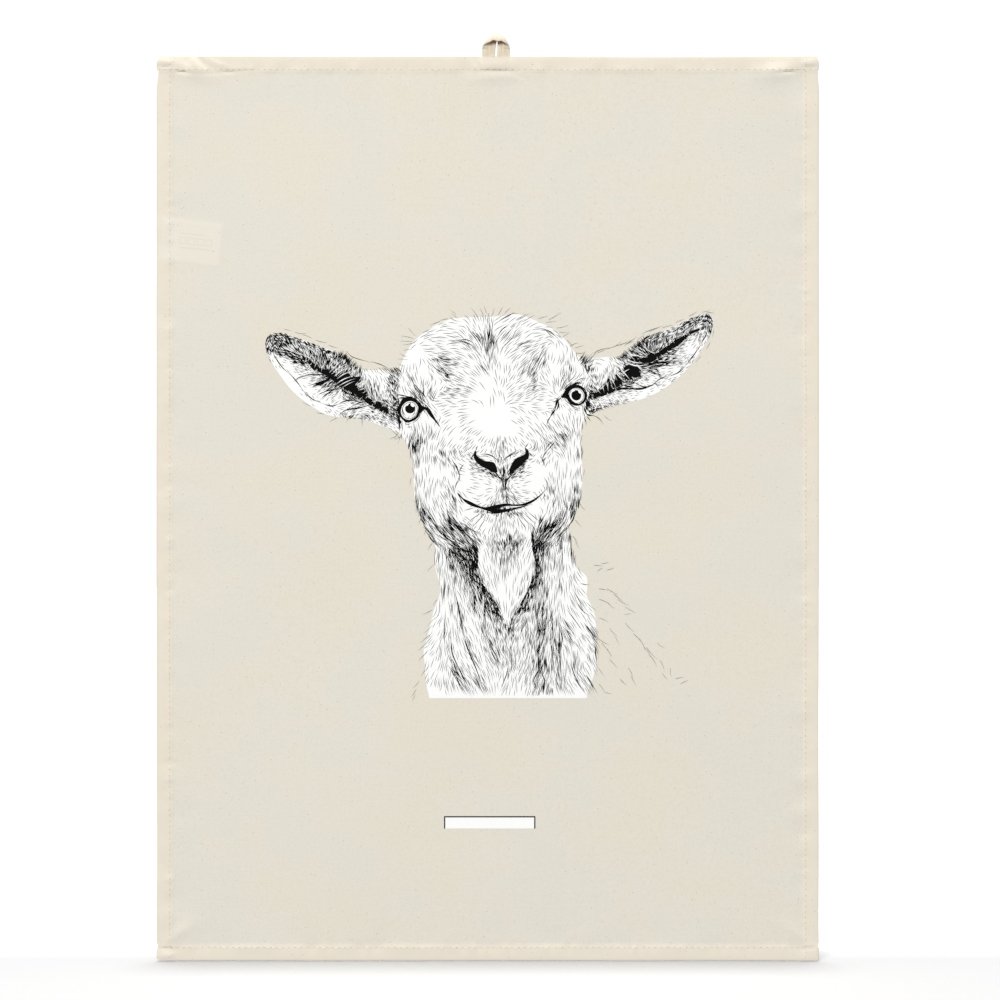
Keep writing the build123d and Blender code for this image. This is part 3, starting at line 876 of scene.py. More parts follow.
def make_label():
    """Thin closed ribbon with a slight curl."""
    runs = np.unique(np.concatenate((np.linspace(-22, -13, 19), np.linspace(-13, 22, 36))))
    rows = np.linspace(-LABEL_HEIGHT / 2, LABEL_HEIGHT / 2, 25)
    share = np.linspace(0, 1, len(runs))
    ring = [(row, 0.0) for row in rows] + [(row, -LABEL_THICKNESS) for row in rows[::-1]]
    flat = np.array([[(run, row) for row, _ in ring] for run in runs])
    raised = np.array([[layer for _, layer in ring] for _ in runs])
    edge = np.maximum(np.abs(flat[..., 1]) / (LABEL_HEIGHT / 2), np.abs(2 * share - 1)[:, None] ** 8)
    faces = [tuple(reversed(face)) for face in tube_faces(1, len(runs), len(ring))]
    points = label_surface(flat, raised).reshape(-1, 3)
    return make_piece("care_label_ribbon", points, faces, RIBBON, {"edge": edge.ravel()})


label = make_label()
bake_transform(label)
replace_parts(label, "care_label", "care_label_margin")

# ---- Ink strokes ----


def curve_through(points, count, closed=False):
    """Smooth curve through the given points, as that many evenly spaced points."""
    points = np.array(points, float)
    if closed:
        padded = np.concatenate((points[-1:], points, points[:2]))
    else:
        first, last = 2 * points[:1] - points[1:2], 2 * points[-1:] - points[-2:-1]
        padded = np.concatenate((first, points, last))
    share = np.linspace(0, 1, 9)[:-1, None]
    pieces = []
    for k in range(len(padded) - 3):
        a, b, c, d = padded[k:k + 4]
        pieces.append(0.5 * (2 * b + (c - a) * share + (2 * a - 5 * b + 4 * c - d) * share**2
                             + (3 * b - 3 * c + d - a) * share**3))
    dense = np.concatenate(pieces + [padded[-2:-1]])
    steps = np.concatenate(([0], np.cumsum(np.linalg.norm(np.diff(dense, axis=0), axis=1))))
    wanted = np.linspace(0, steps[-1], count, endpoint=not closed)
    return np.stack([np.interp(wanted, steps, dense[:, k]) for k in (0, 1)], -1)


def stroke_points(paths, widths, low, high, place=surface):
    """Three rails for every stroke: left and right edge at low, and a ridge at high."""
    ahead = np.gradient(paths, axis=1)
    length = np.maximum(np.linalg.norm(ahead, axis=2, keepdims=True), 1e-6)
    across = np.stack((-ahead[..., 1], ahead[..., 0]), -1) / length
    half = across * (widths / 2)[..., None]
    rails = np.stack((paths - half, paths + half, paths), axis=2)
    raised = np.broadcast_to(np.array((low, low, high)), rails.shape[:-1])
    return place(rails, raised).reshape(-1, 3)


def make_strokes(name, groups, low, high, material, place=surface):
    """One piece from groups of strokes; a group is (paths, widths), equal in number of points."""
    points, faces, first = [], [], 0
    for paths, widths in groups:
        points.append(stroke_points(paths, widths, low, high, place))
        for face in tube_faces(len(paths), paths.shape[1], 3):
            faces.append(tuple(number + first for number in face))
        first += paths.shape[0] * paths.shape[1] * 3
    return make_piece(name, np.concatenate(points), faces, material)


def brush(count, thick_start=0.35, thick_end=0.05, belly=0.35):
    """Width of a stroke along its length, with 1 at its thickest."""
    share = np.linspace(0, 1, count)
    rise = thick_start + (1 - thick_start) * smooth_step(0, belly, share)
    fall = thick_end + (1 - thick_end) * (1 - smooth_step(belly, 1.0, share))
    return np.minimum(rise, fall)


# ---- Filled areas of ink ----


def inside_loops(points, loops):
    """True for points inside an odd number of the closed loops."""
    result = np.zeros(len(points), bool)
    x, y = points[:, 0], points[:, 1]
    for loop_points in loops:
        following = np.roll(loop_points, -1, axis=0)
        for (ax, ay), (bx, by) in zip(loop_points, following):
            if ay != by:
                crosses = (ay > y) != (by > y)
                result ^= crosses & (x < (bx - ax) * (y - ay) / (by - ay) + ax)
    return result


def fill_points(loops, spacing):
    """Grid points inside the loops, clear of their edges, closer together at the fold."""
    everything = np.concatenate(loops)
    (left, upper), (right, lower) = everything.min(0), everything.max(0)
    levels = [upper]
    while levels[-1] < lower:
        at_fold = abs(levels[-1] - FOLD_DOWN) < 15
        levels.append(levels[-1] + (min(spacing, FINE_RUN) if at_fold else spacing))
    across = np.arange(left, right, spacing)
    grid = np.array([(u + (row % 2) * spacing / 2, down)
                     for row, down in enumerate(levels) for u in across])
    grid = grid[inside_loops(grid, loops)]
    nearest = np.full(len(grid), 1e9)
    for spot in everything:
        nearest = np.minimum(nearest, ((grid - spot) ** 2).sum(1))
    return grid[nearest > (spacing * 0.45) ** 2]


def fill_triangles(loops, spacing):
    """Points and triangles that fill the loops; the triangles face the front."""
    flat = np.concatenate(loops + [fill_points(loops, spacing)])
    edges, start = [], 0
    for loop_points in loops:
        size = len(loop_points)
        edges += [(start + k, start + (k + 1) % size) for k in range(size)]
        start += size
    made = delaunay_2d_cdt([Vector(p) for p in flat.tolist()], edges, [], 0, 1e-6)
    flat = np.array([tuple(p) for p in made[0]])
    triangles = np.array([tuple(face) for face in made[2]])
    kept = triangles[inside_loops(flat[triangles].mean(1), loops)]
    first, second, third = flat[kept].swapaxes(0, 1)
    ahead, aside = second - first, third - first
    doubled = ahead[:, 0] * aside[:, 1] - aside[:, 0] * ahead[:, 1]
    return flat, np.where((doubled < 0)[:, None], kept, kept[:, ::-1])


def drop_loose(piece, faces):
    """Remove the points that no face uses."""
    used = np.zeros(len(piece.data.vertices), bool)
    for face in faces:
        used[list(face)] = True
    if used.all():
        return
    mesh = bmesh.new()
    mesh.from_mesh(piece.data)
    mesh.verts.ensure_lookup_table()
    loose = [mesh.verts[k] for k in np.nonzero(~used)[0]]
    bmesh.ops.delete(mesh, geom=loose, context="VERTS")
    mesh.to_mesh(piece.data)
    mesh.free()


def make_film(name, areas, low, high, material, spacing=3.0):
    """Closed film of ink over each area; an area is a list of loops, the later ones holes."""
    points, faces, first = [], [], 0
    for loops in areas:
        flat, kept = fill_triangles(loops, spacing)
        count = len(flat)
        sides = {}  # a dict keeps the order in which the sides come
        for a, b, c in kept.tolist():
            for pair in ((a, b), (b, c), (c, a)):
                sides[pair] = True
        points += [surface(flat, high), surface(flat, low)]
        faces += [tuple(first + k for k in face) for face in kept.tolist()]
        faces += [tuple(first + count + k for k in reversed(face)) for face in kept.tolist()]
        for a, b in sides:
            if (b, a) not in sides:
                faces.append((first + b, first + a, first + count + a, first + count + b))
        first += 2 * count
    piece = make_piece(name, np.concatenate(points), faces, material)
    piece.data.set_sharp_from_angle(angle=SHARP_EDGE)
    drop_loose(piece, faces)
    return piece


# Heights of the print in front of the cloth: its foot is just inside the cloth
BASE_LOW, BASE_HIGH = -0.03, 0.10
INK_LOW, INK_HIGH = 0.115, 0.20

# ---- White underprint: the goat's head, ears and neck ----

HEAD_OUTLINE = (
    (1, 196.5), (11, 196), (20, 194.5), (28, 196), (36, 199.5), (46, 204), (54, 209), (60, 216),
    (65, 222.5), (70, 227.5), (76, 228), (84, 227.5), (92, 227), (99, 228.5), (105, 224.5),
    (112, 218.5), (119, 212.5), (125, 210), (137, 205.5), (147, 201), (157, 196), (163, 195),
    (168, 196), (170.5, 200), (169.5, 207), (164, 217.5), (157, 228), (148, 239), (138, 247.5),
    (128, 254), (116, 259), (106, 261), (96, 263.5), (86, 266.5), (77, 269.5), (73, 274), (71, 281),
    (70.5, 290), (71, 301), (71.5, 314), (71, 326), (69, 338), (65.5, 347), (61, 354.5), (61.5, 364),
    (63.5, 376), (67, 386.5), (72, 390), (75, 393.5), (75.3, 400), (75, 408), (78, 414), (81, 422),
    (82, 434), (81.5, 446), (82.5, 458), (80, 468), (77, 476), (75.2, 482), (75, 484.3), (74.2, 484.8),
    (60, 484.8), (30, 484.8), (0, 484.8), (-25, 484.8), (-43.4, 484.8), (-44.3, 484.3), (-44.6, 482),
    (-46.5, 474), (-47.5, 460), (-48.5, 449), (-46, 440), (-43, 428), (-41, 419), (-37, 409),
    (-35.5, 400), (-38.5, 391), (-40, 381), (-39.5, 372), (-42.5, 364), (-47, 354), (-52, 345),
    (-55, 335), (-56, 320), (-56.5, 306), (-59, 296), (-63, 289), (-66, 285), (-74, 281.5),
    (-84, 277.5), (-94, 274), (-104, 272), (-115, 272), (-124, 269.5), (-134, 263.5), (-143, 257),
    (-150, 250), (-156, 242), (-162, 233), (-166, 224), (-167, 216), (-164.4, 211.5), (-159, 209.3),
    (-152, 209.5), (-143, 213), (-132, 217), (-121, 221), (-113, 224), (-109, 227.5), (-103, 231),
    (-96, 236), (-89, 237), (-83, 236.5), (-76, 237), (-70, 238.5), (-66.5, 235), (-64, 229),
    (-60, 221), (-55.5, 215), (-50, 210), (-42, 204.5), (-33, 200), (-24, 197.5), (-12, 197),
)
LEFT_EYE, RIGHT_EYE = (-59.0, 267.3), (67.0, 256.4)


def ellipse(middle, half_u, half_down, turn, count=28):
    """Points round an ellipse, turned by some degrees."""
    angles = np.radians(np.linspace(0, 360, count, endpoint=False))
    u, down = half_u * np.cos(angles), half_down * np.sin(angles)
    lean = radians(turn)
    return np.stack((middle[0] + u * cos(lean) - down * sin(lean),
                     middle[1] + u * sin(lean) + down * cos(lean)), -1)


head = curve_through(HEAD_OUTLINE, 420, closed=True)
base = make_film("goat_underprint", [[head]], BASE_LOW, BASE_HIGH, WHITE_INK)
across_fold(base)
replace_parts(base, "print_base_upper", "print_base_lower")

# ---- Fur: short strokes that follow the hair ----

# Place (u, down), direction of the hair in degrees (0 right, 90 down), how dark, stroke length
HEAD_FUR = (
    (1, 204, 92, 0.24, 7), (2, 212, 92, 0.38, 7), (3, 220, 90, 0.45, 7), (0, 226, 92, 0.18, 6),
    (4, 232, 92, 0.22, 6), (8, 236, 84, 0.15, 6), (14, 240, 95, 0.22, 5), (12, 232, 88, 0.08, 5),
    (-6, 200, 60, 0.12, 5), (-12, 208, 52, 0.2, 6), (-8, 213, 58, 0.36, 6), (-14, 214, 45, 0.3, 6),
    (-20, 216, 14, 0.26, 6), (-28, 216, 6, 0.26, 6), (-30, 206, 0, 0.16, 6), (-20, 203, 8, 0.16, 6),
    (-22, 197, 40, 0.12, 5), (-36, 205, -22, 0.22, 6), (-46, 210, -30, 0.18, 6),
    (-52, 216, -40, 0.14, 5), (-40, 213, -6, 0.16, 6), (-42, 221, 4, 0.16, 6), (-32, 222, 4, 0.16, 6),
    (-54, 224, 100, 0.05, 5), (-48, 226, 60, 0.1, 5), (-10, 222, 46, 0.26, 7), (-4, 230, 58, 0.24, 7),
    (-2, 238, 55, 0.1, 6), (-20, 226, 24, 0.2, 6), (-14, 232, 35, 0.16, 6), (-37, 227, 20, 0.34, 5),
    (-29, 231, 12, 0.42, 5), (-22, 235, 22, 0.22, 6), (-36, 234, 52, 0.26, 6), (-30, 240, 42, 0.46, 5),
    (-25, 241, 14, 0.28, 5), (-18, 241, 32, 0.2, 6), (-10, 241, 38, 0.14, 6), (-26, 247, 24, 0.34, 5),
    (-17, 248, 26, 0.22, 6), (0, 248, 52, 0.1, 5), (4, 257, 66, 0.1, 6), (5, 265, 80, 0.04, 4),
    (-8, 252, 35, 0.04, 5), (-29, 253, 18, 0.36, 4.5), (-20, 253, 10, 0.26, 5),
    (-27, 259, 8, 0.34, 4.5), (-18, 260, -4, 0.14, 5), (-36, 262, -10, 0.12, 5),
    (-32, 266, -16, 0.18, 5), (-27, 270, -20, 0.14, 5), (-14, 268, -6, 0.07, 5),
    (-20, 277, 135, 0.18, 6), (-14, 282, 132, 0.2, 6), (-14, 290, 140, 0.18, 5),
    (-24, 284, 130, 0.12, 6), (-8, 276, 160, 0.05, 5), (-30, 290, 120, 0.08, 5),
    (-27, 277, 130, 0.08, 5), (9, 207, -58, 0.22, 6), (12, 201, -32, 0.16, 6), (16, 209, -46, 0.18, 7),
    (21, 207, -52, 0.24, 7), (17, 203, -32, 0.16, 6), (27, 209, -48, 0.14, 6), (33, 205, -30, 0.16, 6),
    (42, 206, 4, 0.18, 6), (50, 209, 34, 0.22, 6), (46, 201, -6, 0.1, 6), (22, 217, -30, 0.22, 7),
    (30, 215, -20, 0.26, 7), (37, 218, -28, 0.26, 6), (44, 212, -20, 0.18, 6), (27, 219, -28, 0.24, 6),
    (14, 219, -55, 0.16, 7), (12, 226, -68, 0.14, 7), (20, 227, -52, 0.2, 7), (28, 227, -46, 0.22, 7),
    (38, 226, -58, 0.44, 7), (42, 221, -55, 0.24, 6), (34, 234, -58, 0.36, 6), (36, 240, -62, 0.4, 5),
    (30, 240, -55, 0.26, 6), (22, 237, -60, 0.16, 6), (20, 246, -44, 0.14, 6), (28, 247, -30, 0.16, 5),
    (35, 249, -28, 0.4, 4.5), (27, 254, -30, 0.24, 5), (37, 255, -24, 0.28, 5), (25, 259, -14, 0.16, 5),
    (34, 261, -8, 0.24, 5), (42, 264, 8, 0.12, 5), (13, 266, -50, 0.08, 5), (28, 268, 30, 0.14, 6),
    (34, 271, 38, 0.12, 6), (23, 277, 36, 0.12, 6), (31, 279, 44, 0.2, 7), (31, 287, 48, 0.2, 5),
    (21, 282, 20, 0.06, 4), (40, 275, 60, 0.06, 5), (45, 284, 60, 0.22, 6), (10, 285, 80, 0.03, 4),
    (8, 272, 80, 0, 4), (3, 284, 110, 0.02, 4), (11, 293, 90, 0.3, 5), (2, 294, 118, 0.18, 5),
    (20, 294, 62, 0.18, 5), (-5, 295, 130, 0.12, 4), (27, 293, 55, 0.12, 4), (11, 300, 90, 0.31, 4),
    (4, 299, 95, 0.24, 4), (18, 299, 80, 0.24, 4), (58, 217, 60, 0.14, 5), (56, 212, 45, 0.2, 5),
    (52, 222, 95, 0.06, 5), (47, 224, 100, 0.1, 5), (62, 228, 96, 0.26, 6), (62, 238, 94, 0.36, 6),
    (64, 244, 105, 0.3, 6), (52, 236, 95, 0.04, 5), (55, 246, 92, 0.2, 6), (50, 249, 62, 0.16, 6),
    (44, 242, 60, 0.14, 6), (45, 253, 16, 0.14, 5), (58, 248, 115, 0.34, 6), (46, 262, -18, 0.2, 4),
    (68, 232, 75, 0.05, 5), (67, 240, -48, 0.16, 6), (-58, 242, 64, 0.22, 6), (-55, 250, 66, 0.36, 7),
    (-52, 256, 62, 0.42, 6), (-62, 236, 100, 0.1, 5), (-50, 240, 100, 0.03, 5),
    (-46, 252, 106, 0.26, 7), (-40, 251, 112, 0.18, 6), (-35, 247, 118, 0.12, 5),
    (-45, 260, 60, 0.36, 6), (-38, 268, 50, 0.14, 5), (-60, 250, 70, 0.08, 5), (-64, 244, 95, 0.1, 5),
    (-54, 282, 96, 0.2, 6), (-50, 288, 96, 0.44, 7), (-56, 293, 92, 0.46, 6), (-47, 284, 102, 0.3, 7),
    (-42, 290, 104, 0.2, 7), (-47, 298, 98, 0.2, 7), (-52, 302, 94, 0.27, 7), (-41, 300, 100, 0.16, 7),
    (-36, 297, 76, 0.36, 5), (-38, 303, 60, 0.23, 5), (-30, 303, 70, 0.43, 5), (-26, 307, 52, 0.33, 5),
    (-23, 314, 80, 0.26, 4), (-33, 286, 110, 0.1, 6), (-35, 291, 120, 0.14, 6), (-57, 303, 90, 0.28, 6),
    (-56, 312, 90, 0.26, 7), (-55, 322, 92, 0.29, 7), (-54, 332, 92, 0.39, 7), (-50, 312, 90, 0.12, 6),
    (-46, 320, 90, 0.13, 7), (-42, 326, 88, 0.18, 7), (-38, 316, 90, 0.07, 6), (-38, 330, 88, 0.23, 7),
    (-34, 324, 82, 0.21, 6), (-30, 330, 66, 0.34, 6), (-26, 338, 68, 0.42, 6), (-31, 340, 72, 0.26, 7),
    (-44, 336, 88, 0.18, 7), (-50, 336, 92, 0.31, 7), (-47, 345, 74, 0.52, 7), (-51, 342, 86, 0.44, 6),
    (-40, 343, 76, 0.16, 7), (-36, 350, 62, 0.29, 7), (-44, 352, 62, 0.55, 7), (-30, 348, 58, 0.5, 7),
    (-26, 354, 52, 0.56, 7), (-36, 358, 48, 0.52, 8), (-22, 346, 62, 0.18, 6), (-20, 358, 46, 0.56, 7),
    (-14, 354, 40, 0.44, 4), (-14, 362, 44, 0.44, 7), (-29, 363, 44, 0.57, 8), (-39, 364, 44, 0.44, 7),
    (-21, 366, 42, 0.47, 7), (-9, 361, 36, 0.42, 4), (-10, 368, 48, 0.62, 6), (-33, 369, 50, 0.31, 6),
    (-17, 370, 30, 0.6, 5), (-26, 320, 90, 0.04, 5), (-30, 312, 90, 0.06, 5), (-18, 316, 10, 0.06, 4),
    (-12, 326, 14, 0.1, 4), (-4, 322, 6, 0.09, 4), (3, 328, -12, 0.12, 4), (-8, 333, 24, 0.1, 4),
    (2, 333, -38, 0.21, 4), (6, 334, -52, 0.36, 5), (10, 330, -70, 0.39, 5), (-2, 337, -30, 0.16, 4),
    (-16, 322, 40, 0.04, 4), (24, 322, -4, 0.09, 4), (34, 324, -10, 0.07, 4), (20, 333, 38, 0.34, 5),
    (26, 334, 22, 0.23, 4), (24, 329, 20, 0.16, 4), (32, 332, -4, 0.1, 4), (17, 330, 55, 0.34, 5),
    (38, 316, -8, 0.04, 4), (42, 322, 60, 0.07, 4), (-8, 309, 24, 0.46, 3), (-2, 312, 24, 0.59, 3),
    (3, 315, 30, 0.61, 3), (7, 318, 45, 0.55, 3), (-8, 313, 24, 0.19, 3), (-1, 317, 26, 0.22, 3),
    (5, 321, 45, 0.15, 3), (20, 313, -40, 0.62, 3), (25, 309, -36, 0.59, 3), (29, 305.4, -30, 0.48, 3),
    (17, 317, -50, 0.54, 3), (24, 314, -36, 0.29, 3), (30, 309, -30, 0.23, 3), (18, 322, -50, 0.16, 3),
    (31, 304, -20, 0.21, 3), (-12, 306, 30, 0.24, 3), (-16, 310, 30, 0.05, 3), (34, 310, -20, 0.03, 3),
    (12, 324, 95, 0.44, 4), (11, 315, 90, 0.36, 3), (8, 310, 80, 0.32, 3), (15, 310, 100, 0.32, 3),
    (11, 306, 90, 0.22, 3), (2, 303, 10, 0.11, 3), (20, 304, -20, 0.11, 3), (2, 345, 100, 0.65, 2.5),
    (9, 346, 92, 0.65, 2.5), (16, 345.4, 80, 0.57, 2.5), (22, 343.6, 60, 0.39, 2.5),
    (-5, 344, 120, 0.39, 2.5), (13, 349, 90, 0.26, 5), (6, 350, 104, 0.16, 5), (-2, 350, 130, 0.04, 5),
    (-9, 348, 150, 0.03, 4), (-14, 344, 160, 0.03, 4), (21, 350, 66, 0.16, 5), (29, 349, 50, 0.05, 5),
    (35, 344, 30, 0.03, 4), (38, 338, 30, 0.03, 4), (34, 350, 50, 0.04, 4), (13, 357, 90, 0.31, 5),
    (5, 357, 98, 0.23, 5), (-3, 356, 120, 0.05, 5), (-8, 353, 130, 0.03, 4), (22, 357, 80, 0.29, 5),
    (29, 355, 60, 0.1, 4), (-8, 359, 50, 0.26, 3.5), (-2, 362, 80, 0.27, 4), (4, 364, 90, 0.34, 4),
    (10, 365, 90, 0.41, 4), (17, 366, 90, 0.43, 4), (24, 364, 96, 0.35, 4), (29, 360, 110, 0.26, 4),
    (-15, 352, 45, 0.21, 4), (-20, 346, 60, 0.13, 4), (-18, 338, 60, 0.04, 4), (52, 286, 56, 0.34, 8),
    (60, 284, 64, 0.46, 8), (66, 281, 84, 0.34, 7), (70, 282, 94, 0.24, 6), (56, 292, 58, 0.26, 8),
    (50, 293, 45, 0.42, 4), (44, 296, 82, 0.3, 5), (42, 290, 66, 0.3, 7), (46, 298, -52, 0.36, 4),
    (42, 305, -66, 0.33, 4), (54, 298, 40, 0.18, 6), (62, 294, 66, 0.24, 8), (62, 273, 80, 0.14, 6),
    (56, 272, 80, 0.16, 6), (50, 276, 66, 0.14, 6), (68, 272, 95, 0.14, 6), (66, 292, 84, 0.12, 7),
    (70, 296, 90, 0.3, 7), (70, 308, 88, 0.29, 7), (70, 320, 90, 0.33, 7), (62, 306, 84, 0.09, 7),
    (56, 310, 90, 0.09, 7), (50, 308, 90, 0.09, 6), (62, 318, 90, 0.18, 7), (56, 322, 92, 0.16, 7),
    (52, 316, 90, 0.17, 7), (50, 326, 96, 0.34, 6), (48, 334, 100, 0.47, 5), (54, 333, 94, 0.18, 7),
    (60, 332, 92, 0.23, 7), (66, 332, 98, 0.44, 7), (68, 326, 92, 0.36, 7), (64, 342, 108, 0.57, 7),
    (60, 347, 116, 0.44, 8), (52, 344, 100, 0.29, 7), (46, 343, 104, 0.31, 7), (41, 349, 112, 0.42, 6),
    (38, 356, 108, 0.48, 6), (46, 353, 116, 0.52, 7), (54, 352, 124, 0.55, 8), (50, 359, 130, 0.55, 8),
    (43, 362, 130, 0.54, 7), (37, 363, 104, 0.6, 6), (57, 358, 130, 0.34, 8), (52, 366, 132, 0.29, 7),
    (60, 364, 96, 0.08, 6), (42, 334, 70, 0.16, 4), (40, 310, 80, 0.02, 4), (-46, 276, 80, 0.05, 4),
    (-62, 280, 95, 0.1, 4), (-56, 276, 85, 0.1, 3), (63, 266, 40, 0.16, 4),
)

EAR_FUR = (
    (-165, 214, 100, 0.55, 3), (-162, 219, 80, 0.62, 3), (-159, 214, 60, 0.72, 3.5),
    (-157, 210, 20, 0.55, 3.5), (-151, 211, 24, 0.4, 4), (-144, 214, 26, 0.36, 4),
    (-136, 217, 28, 0.32, 4), (-127, 220, 26, 0.36, 4), (-119, 223, 24, 0.34, 4),
    (-152, 217, 50, 0.3, 5), (-146, 220, 55, 0.3, 5), (-139, 222, 60, 0.34, 5),
    (-133, 225, 72, 0.44, 5), (-126, 226, 84, 0.44, 6), (-120, 229, 92, 0.36, 6),
    (-114, 228, 104, 0.4, 6), (-129, 230, 76, 0.54, 5), (-122, 233, 88, 0.5, 5),
    (-109, 228, 116, 0.7, 5), (-105, 233, 130, 0.34, 6), (-100, 238, 112, 0.3, 6),
    (-96, 240, 100, 0.26, 6), (-93, 246, 92, 0.26, 6), (-88, 250, 88, 0.3, 7), (-84, 254, 86, 0.34, 7),
    (-80, 250, 84, 0.1, 6), (-84, 243, 60, 0.08, 6), (-78, 241, 45, 0.12, 7), (-72, 240, 40, 0.34, 6),
    (-69, 245, 60, 0.34, 5), (-74, 250, 50, 0.32, 4), (-71, 256, 70, 0.36, 4), (-76, 258, 90, 0.22, 4),
    (-77, 262, 60, 0.48, 4), (-69, 250, 110, 0.3, 5), (-90, 240, 50, 0.06, 5), (-154, 224, 28, 0.5, 5),
    (-147, 228, 34, 0.6, 5), (-140, 230, 36, 0.62, 5), (-136, 235, 30, 0.34, 4),
    (-143, 235, 10, 0.16, 4), (-150, 233, 20, 0.05, 4), (-156, 230, 30, 0.05, 4),
    (-130, 240, 16, 0.26, 4), (-138, 240, 10, 0.1, 4), (-123, 243, 20, 0.4, 4),
    (-130, 244, 160, 0.2, 5), (-120, 247, 150, 0.4, 5), (-127, 248, 165, 0.36, 5),
    (-138, 246, 170, 0.03, 4), (-146, 243, 40, 0.03, 4), (-132, 252, 160, 0.04, 4),
    (-121, 252, 150, 0.16, 5), (-114, 252, 140, 0.42, 5), (-114, 257, 150, 0.12, 5),
    (-122, 257, 140, 0.06, 4), (-107, 255, 60, 0.42, 4), (-100, 256, 50, 0.46, 4),
    (-104, 260, 30, 0.34, 4), (-95, 259, 30, 0.5, 4), (-110, 264, 160, 0.1, 6),
    (-102, 264, 150, 0.14, 6), (-118, 266, 60, 0.12, 4), (-95, 262, 160, 0.26, 5),
    (-92, 268, 170, 0.16, 5), (-84, 268, 30, 0.28, 4), (-100, 270, 150, 0.22, 5),
    (-108, 270, 60, 0.22, 3.5), (-92, 272, 20, 0.24, 3.5), (-84, 273, 30, 0.26, 3.5),
    (-78, 274, 40, 0.22, 3.5), (-73, 270, 60, 0.36, 4), (-73, 277, 40, 0.14, 4), (-86, 277, 20, 0.1, 3),
    (-133, 258, 60, 0.1, 3), (-140, 251, 50, 0.06, 3), (-150, 241, 50, 0.05, 3),
    (-158, 233, 55, 0.06, 3), (-163, 228, 60, 0.1, 3), (-146, 250, 50, 0.02, 3),
    (-125, 266, 40, 0.04, 3), (-137, 260, 40, 0.02, 3), (-156, 240, 50, 0.02, 3),
    (168, 199, 80, 0.62, 3), (164, 199, 130, 0.5, 3.5), (166, 204, 110, 0.36, 4),
    (160, 199, 150, 0.34, 4), (154, 201, 152, 0.3, 4), (147, 204, 156, 0.3, 4),
    (139, 208, 156, 0.26, 4), (131, 210, 150, 0.26, 4), (124, 212, 140, 0.34, 4.5),
    (150, 205, 120, 0.22, 4), (158, 203, 110, 0.26, 4), (142, 210, 110, 0.26, 4),
    (134, 213, 100, 0.36, 5), (128, 216, 96, 0.38, 5), (122, 217, 76, 0.4, 5.5),
    (117, 219, 60, 0.46, 5.5), (136, 217, 110, 0.34, 4), (111, 222, 50, 0.4, 6),
    (106, 225, 40, 0.36, 6), (113, 226, 22, 0.5, 6), (102, 229, 45, 0.28, 6), (101, 234, 50, 0.36, 5),
    (98, 233, 60, 0.14, 6), (94, 238, 88, 0.16, 6), (90, 242, 96, 0.2, 6), (86, 246, 100, 0.22, 5),
    (84, 238, 95, 0.08, 6), (88, 232, 20, 0.04, 5), (78, 232, -44, 0.34, 6), (74, 236, 60, 0.44, 5),
    (78, 238, 70, 0.26, 5), (73, 230, -48, 0.34, 6), (82, 246, 80, 0.3, 4), (78, 250, 70, 0.34, 4),
    (77, 244, 60, 0.26, 4), (80, 255, 50, 0.5, 4), (158, 209, 140, 0.3, 4), (150, 214, 150, 0.24, 4),
    (146, 218, 160, 0.26, 4.5), (154, 217, 160, 0.08, 4), (140, 223, 165, 0.36, 4.5),
    (134, 227, 168, 0.42, 4.5), (145, 226, 172, 0.16, 4), (152, 222, 160, 0.03, 4),
    (140, 229, 175, 0.26, 5), (132, 232, 178, 0.46, 5), (146, 232, 10, 0.16, 5),
    (126, 236, 175, 0.42, 5), (134, 237, 178, 0.03, 4), (142, 237, 178, 0.02, 4),
    (124, 241, 16, 0.2, 5), (130, 240, 30, 0.26, 5), (118, 241, 20, 0.4, 4), (112, 242, -50, 0.6, 3.5),
    (106, 245, -50, 0.6, 3.5), (117, 245, 10, 0.26, 4), (124, 246, 10, 0.04, 4), (116, 248, 6, 0.06, 4),
    (108, 249, 4, 0.28, 5), (100, 249, 176, 0.4, 5), (98, 255, 172, 0.14, 5), (106, 253, 176, 0.14, 4),
    (114, 253, 30, 0.1, 4), (122, 252, 30, 0.08, 4), (132, 246, 150, 0.16, 4), (138, 242, 150, 0.18, 4),
    (147, 236, 140, 0.16, 3.5), (153, 228, 130, 0.14, 3.5), (160, 218, 125, 0.12, 3.5),
    (165, 209, 115, 0.2, 3.5), (158, 226, 130, 0.04, 3), (150, 238, 140, 0.04, 3),
    (138, 248, 140, 0.03, 3), (126, 252, 150, 0.04, 3), (88, 258, 160, 0.2, 4), (94, 260, 40, 0.2, 3),
    (86, 262, 40, 0.24, 3), (102, 259, 40, 0.18, 3), (110, 257, 160, 0.08, 3), (80, 263, 40, 0.26, 3),
    (76, 262, 80, 0.58, 5), (77, 257, 60, 0.52, 4), (74, 268, 60, 0.3, 3), (118, 256, 160, 0.04, 3),
)

